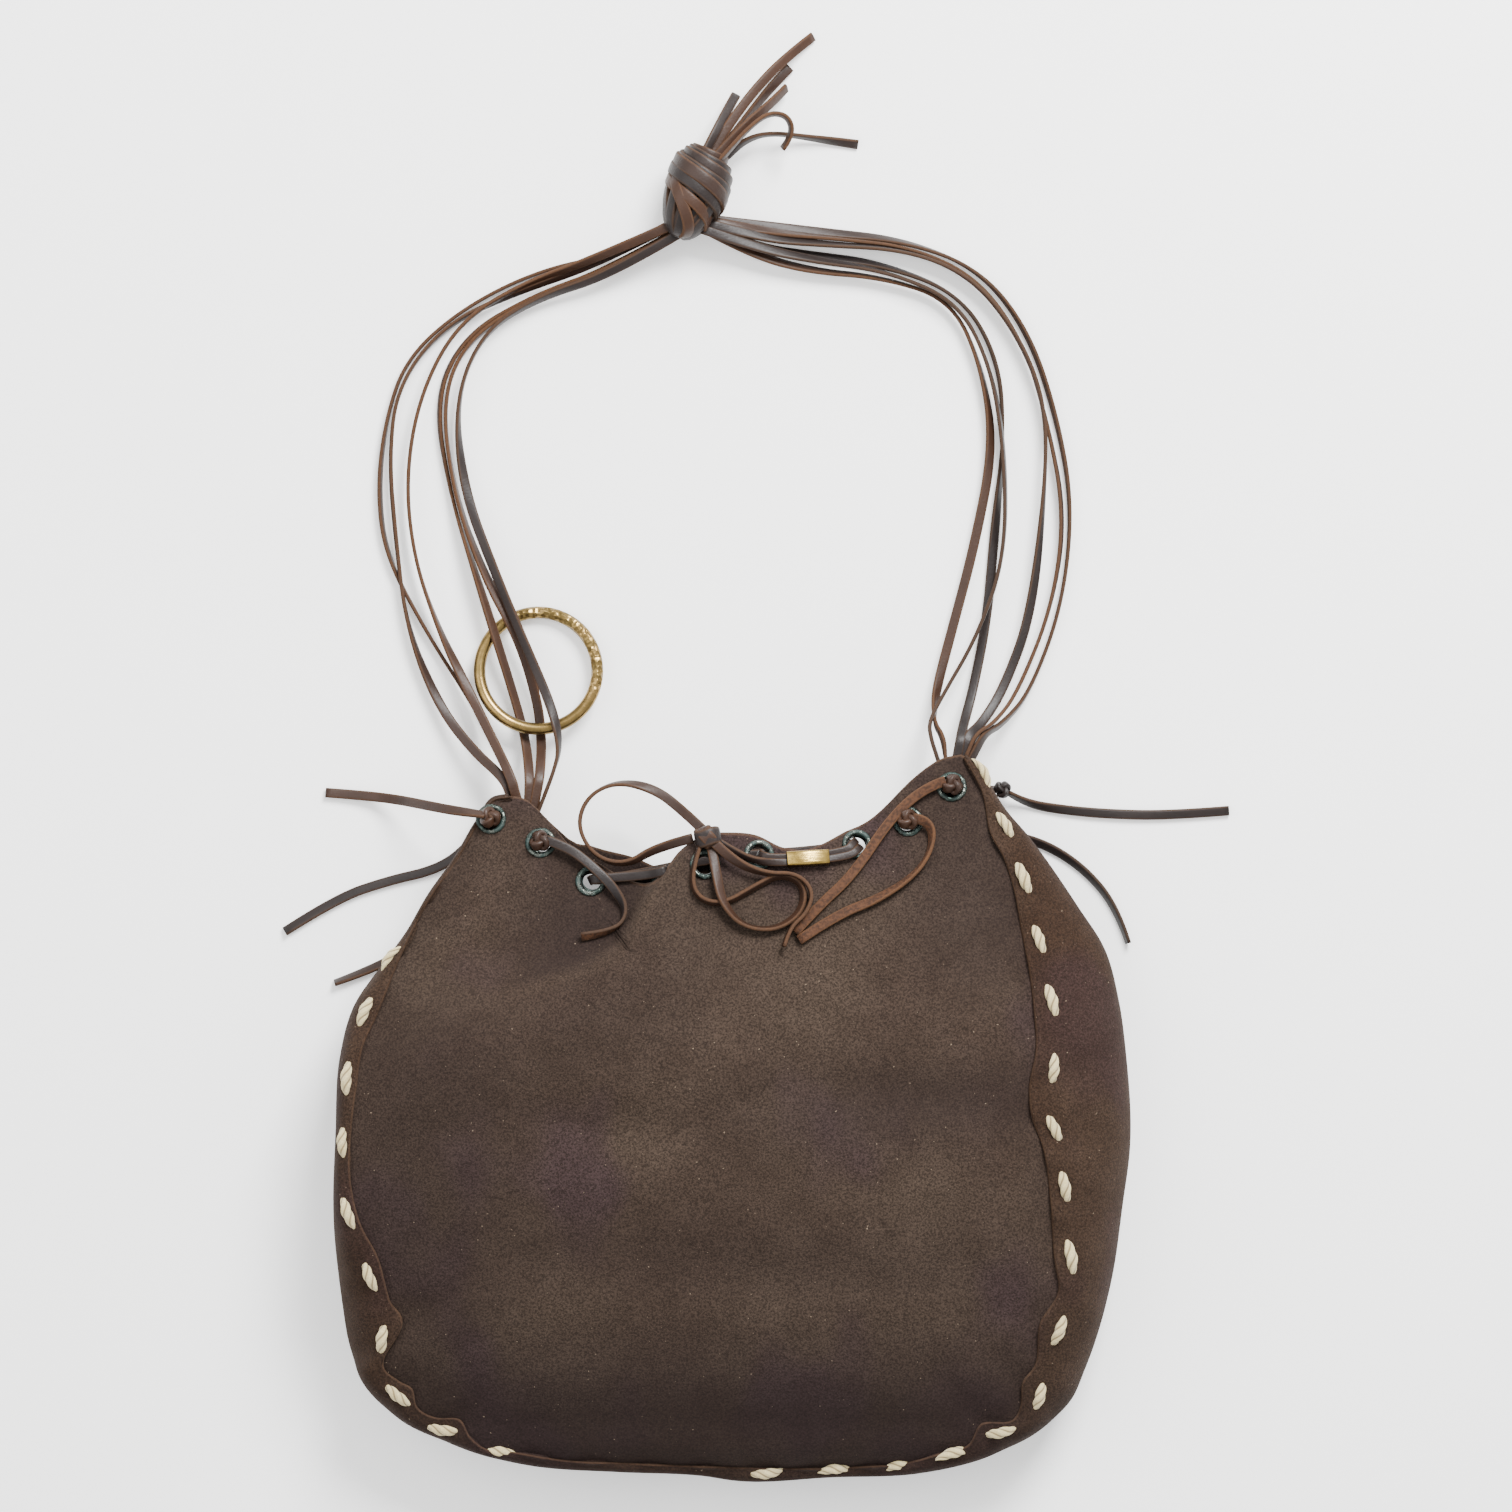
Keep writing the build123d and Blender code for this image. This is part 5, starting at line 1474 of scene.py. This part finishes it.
FRONT_KNOT, BACK_KNOT = 0.0031, 0.0026
for side_name, spots in (("left", EYELETS[:2]), ("right", EYELETS[7:])):
    knots = []
    for i, (x, y) in enumerate(spots):
        out = outwards(x, y)
        centre = np.array([x, y, float(skin(x, y))]) + out * 0.0028
        knots.append(small_knot("knot", centre, FRONT_KNOT, out, tone=(0.85, 0.60)[i]))
    finished_knots(f"front_knots_{side_name}_leather", knots, f"stopper_knots_front_{side_name}")
OUTER_STOPPER = (0.0896, 0.1087, 0.0062)
under_left = [(x, y, float(back_outside(y)) - 0.0030) for x, y in EYELETS[:2]]
under_right = [(*EYELETS[7], float(back_outside(EYELETS[7][1])) - 0.0030), OUTER_STOPPER]
for side_name, centres in (("left", under_left), ("right", under_right)):
    knots = [small_knot("knot", centre, BACK_KNOT, (0.3, 0.2, 1.0), tone=0.2) for centre in centres]
    finished_knots(f"back_knots_{side_name}_leather", knots, f"stopper_knots_back_{side_name}")


# %% [markdown]
# Inside the mouth each strap lace goes down to its eyelet and out to its stopper knot. Little of this is
# seen, so the runs are plain strips that start where the strap's laces hide them.

# %% The lace roots inside the mouth
def roots(side_name, routes):
    """The short runs from the strap down into the mouth and out through the eyelets."""
    pieces = []
    for route in routes:
        hidden = Vector(route[1]).lerp(Vector(route[2]), 0.5)
        pieces.append(strip("root", smooth_line([tuple(hidden), *route[2:]]), width=0.0026, tone=0.3)[0])
    finished_knots(f"lace_roots_{side_name}_leather", pieces, f"lace_roots_{side_name}")


roots("left", ROOTS_LEFT)
roots("right", ROOTS_RIGHT)


# %% [markdown]
# A true knot of twelve laces is a tangle that can't be seen into, so only its outside is made: a dark core,
# the laces that fan in below, the turns that cross them on a slant, and the collar above.

# %% The strap's knot
KNOT_CENTRE = np.array([-0.012, 0.3085, 0.012])
KNOT_AXIS = unit((0.35, 0.94, 0.0))
KNOT_ACROSS = np.cross(KNOT_AXIS, (0.0, 0.0, 1.0))
KNOT_SIDE = [(-0.0175, 0.0028), (-0.0145, 0.0052), (-0.0085, 0.0074), (-0.0010, 0.0086), (0.0050, 0.0082),
             (0.0095, 0.0062), (0.0135, 0.0038)]


def on_knot(along, around, lift):
    """A point over the knot's core: along its axis, round from the top (0), and out by lift."""
    reach = through(*zip(*KNOT_SIDE), along) + lift
    around = np.asarray(around, float)
    out = np.cos(around)[:, None] * np.array([0.0, 0.0, 1.0]) + np.sin(around)[:, None] * KNOT_ACROSS
    return KNOT_CENTRE + np.outer(along, KNOT_AXIS) + out * np.asarray(reach)[:, None], out


def knot_strip(starts, ends, lift, width, tone, bow=0.0):
    """A strip on the knot from (along, degrees round) to (along, degrees round)."""
    share = np.linspace(0, 1, 40)
    along = starts[0] + (ends[0] - starts[0]) * share + bow * np.sin(pi * share)
    around = np.radians(starts[1] + (ends[1] - starts[1]) * share)
    line, out = on_knot(along, around, lift - 0.0022 * (1 - np.sin(pi * share) ** 0.3))
    made, _ = strip("knot strip", line, width=width, thickness=0.0017, out=out, tone=tone)
    return made


def strap_knot():
    """The core, the fan below, the slanting turns above and the collar."""
    share = np.linspace(-0.0172, 0.0132, 30)
    around = np.linspace(0, 2 * pi, 32, endpoint=False)
    core = np.concatenate([on_knot(np.full(32, s), around, -0.0006)[0] for s in share])
    faces = ring_faces(30, 32) + [tuple(range(32))[::-1], tuple(29 * 32 + j for j in range(32))]
    pieces = [mesh_object("core", core, faces, {
        "grain": np.ones(960), "along": np.repeat(share, 32), "tone": np.zeros(960)})]
    for i, degrees in enumerate((-96, -80, -60, -46, -24, -6, 18, 34, 58, 76, 98)):
        lean = (18, -6, 26, 4, 22, -4, 16)[i % 7]
        tone = (0.0, 0.3, 0.0, 0.15, 0.05, 0.0)[i % 6]
        lift = 0.0002 + 0.0005 * (i % 3)
        pieces.append(knot_strip((-0.0172, degrees * 0.7), (0.0050, degrees + lean), lift, 0.0038, tone))
    turns = [((0.0015, -118), (-0.0125, 100), 0.0016, 0.0040, 0.85, 0.0010),
             ((0.0050, -122), (-0.0080, 112), 0.0021, 0.0042, 0.05, 0.0014),
             ((0.0078, -120), (-0.0052, 118), 0.0026, 0.0046, 0.45, 0.0020),
             ((0.0092, -115), (-0.0005, 120), 0.0023, 0.0038, 0.10, 0.0004),
             ((0.0105, -118), (0.0030, 120), 0.0020, 0.0040, 0.35, 0.0012),
             ((0.0118, -112), (0.0070, 122), 0.0017, 0.0034, 0.10, 0.0002),
             ((0.0124, -120), (0.0110, 125), 0.0013, 0.0028, 0.55, 0.0)]
    for start, end, lift, width, tone, bow in turns:
        pieces.append(knot_strip(start, end, lift, width, tone, bow))
    pieces.append(knot_strip((0.0020, -60), (-0.0168, 34), 0.0019, 0.0040, 0.75))
    finished_knots("strap_knot_leather", pieces, "strap_knot", body="strap")


strap_knot()


# %% [markdown]
# The bow is held by one turn of the drawstring round its middle, with a second turn crossing it.

# %% The bow's knot
BOW_KNOT = (-0.0082, 0.0932)


def bow_knot():
    """A half turn of lace round the bow's middle, drawn tight."""
    x, y = BOW_KNOT
    centre = np.array([x, y, float(skin(x, y)) + 0.0034])
    t = np.linspace(0, 2 * pi, 60, endpoint=False)
    pieces = []
    for tilt, size, shift, tone in ((8.0, 1.0, 0.0, 0.25), (-62.0, 0.82, 0.0005, 0.6)):
        turn = Matrix.Rotation(radians(tilt), 3, "Z")
        up = np.sin(t) * 0.0027 * size + shift
        ring = np.stack([np.cos(t) * 0.0036 * size, 0.0004 * np.sin(2 * t), up], axis=1)
        line = ring @ np.array(turn).T
        pieces.append(strip("wrap", line + centre, width=0.0058 * size, thickness=0.0016, out=unit(line),
                            tone=tone, closed=True)[0])
    finished_knots("bow_knot_leather", pieces, "bow_knot")


bow_knot()


# %% [markdown]
# ## Size
#
# This prints how far the shown model's box lies from the CAD model's box at each corner. The
# shown model stays within the CAD model's box, apart from what soft leather may stand proud.

# %% Size
shown_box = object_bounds()
for corner in (0, 1):
    past = [round(shown_box[corner][i] - cad_box[corner][i], 4) for i in range(3)]
    print("low" if corner == 0 else "high", past, "from the CAD box")
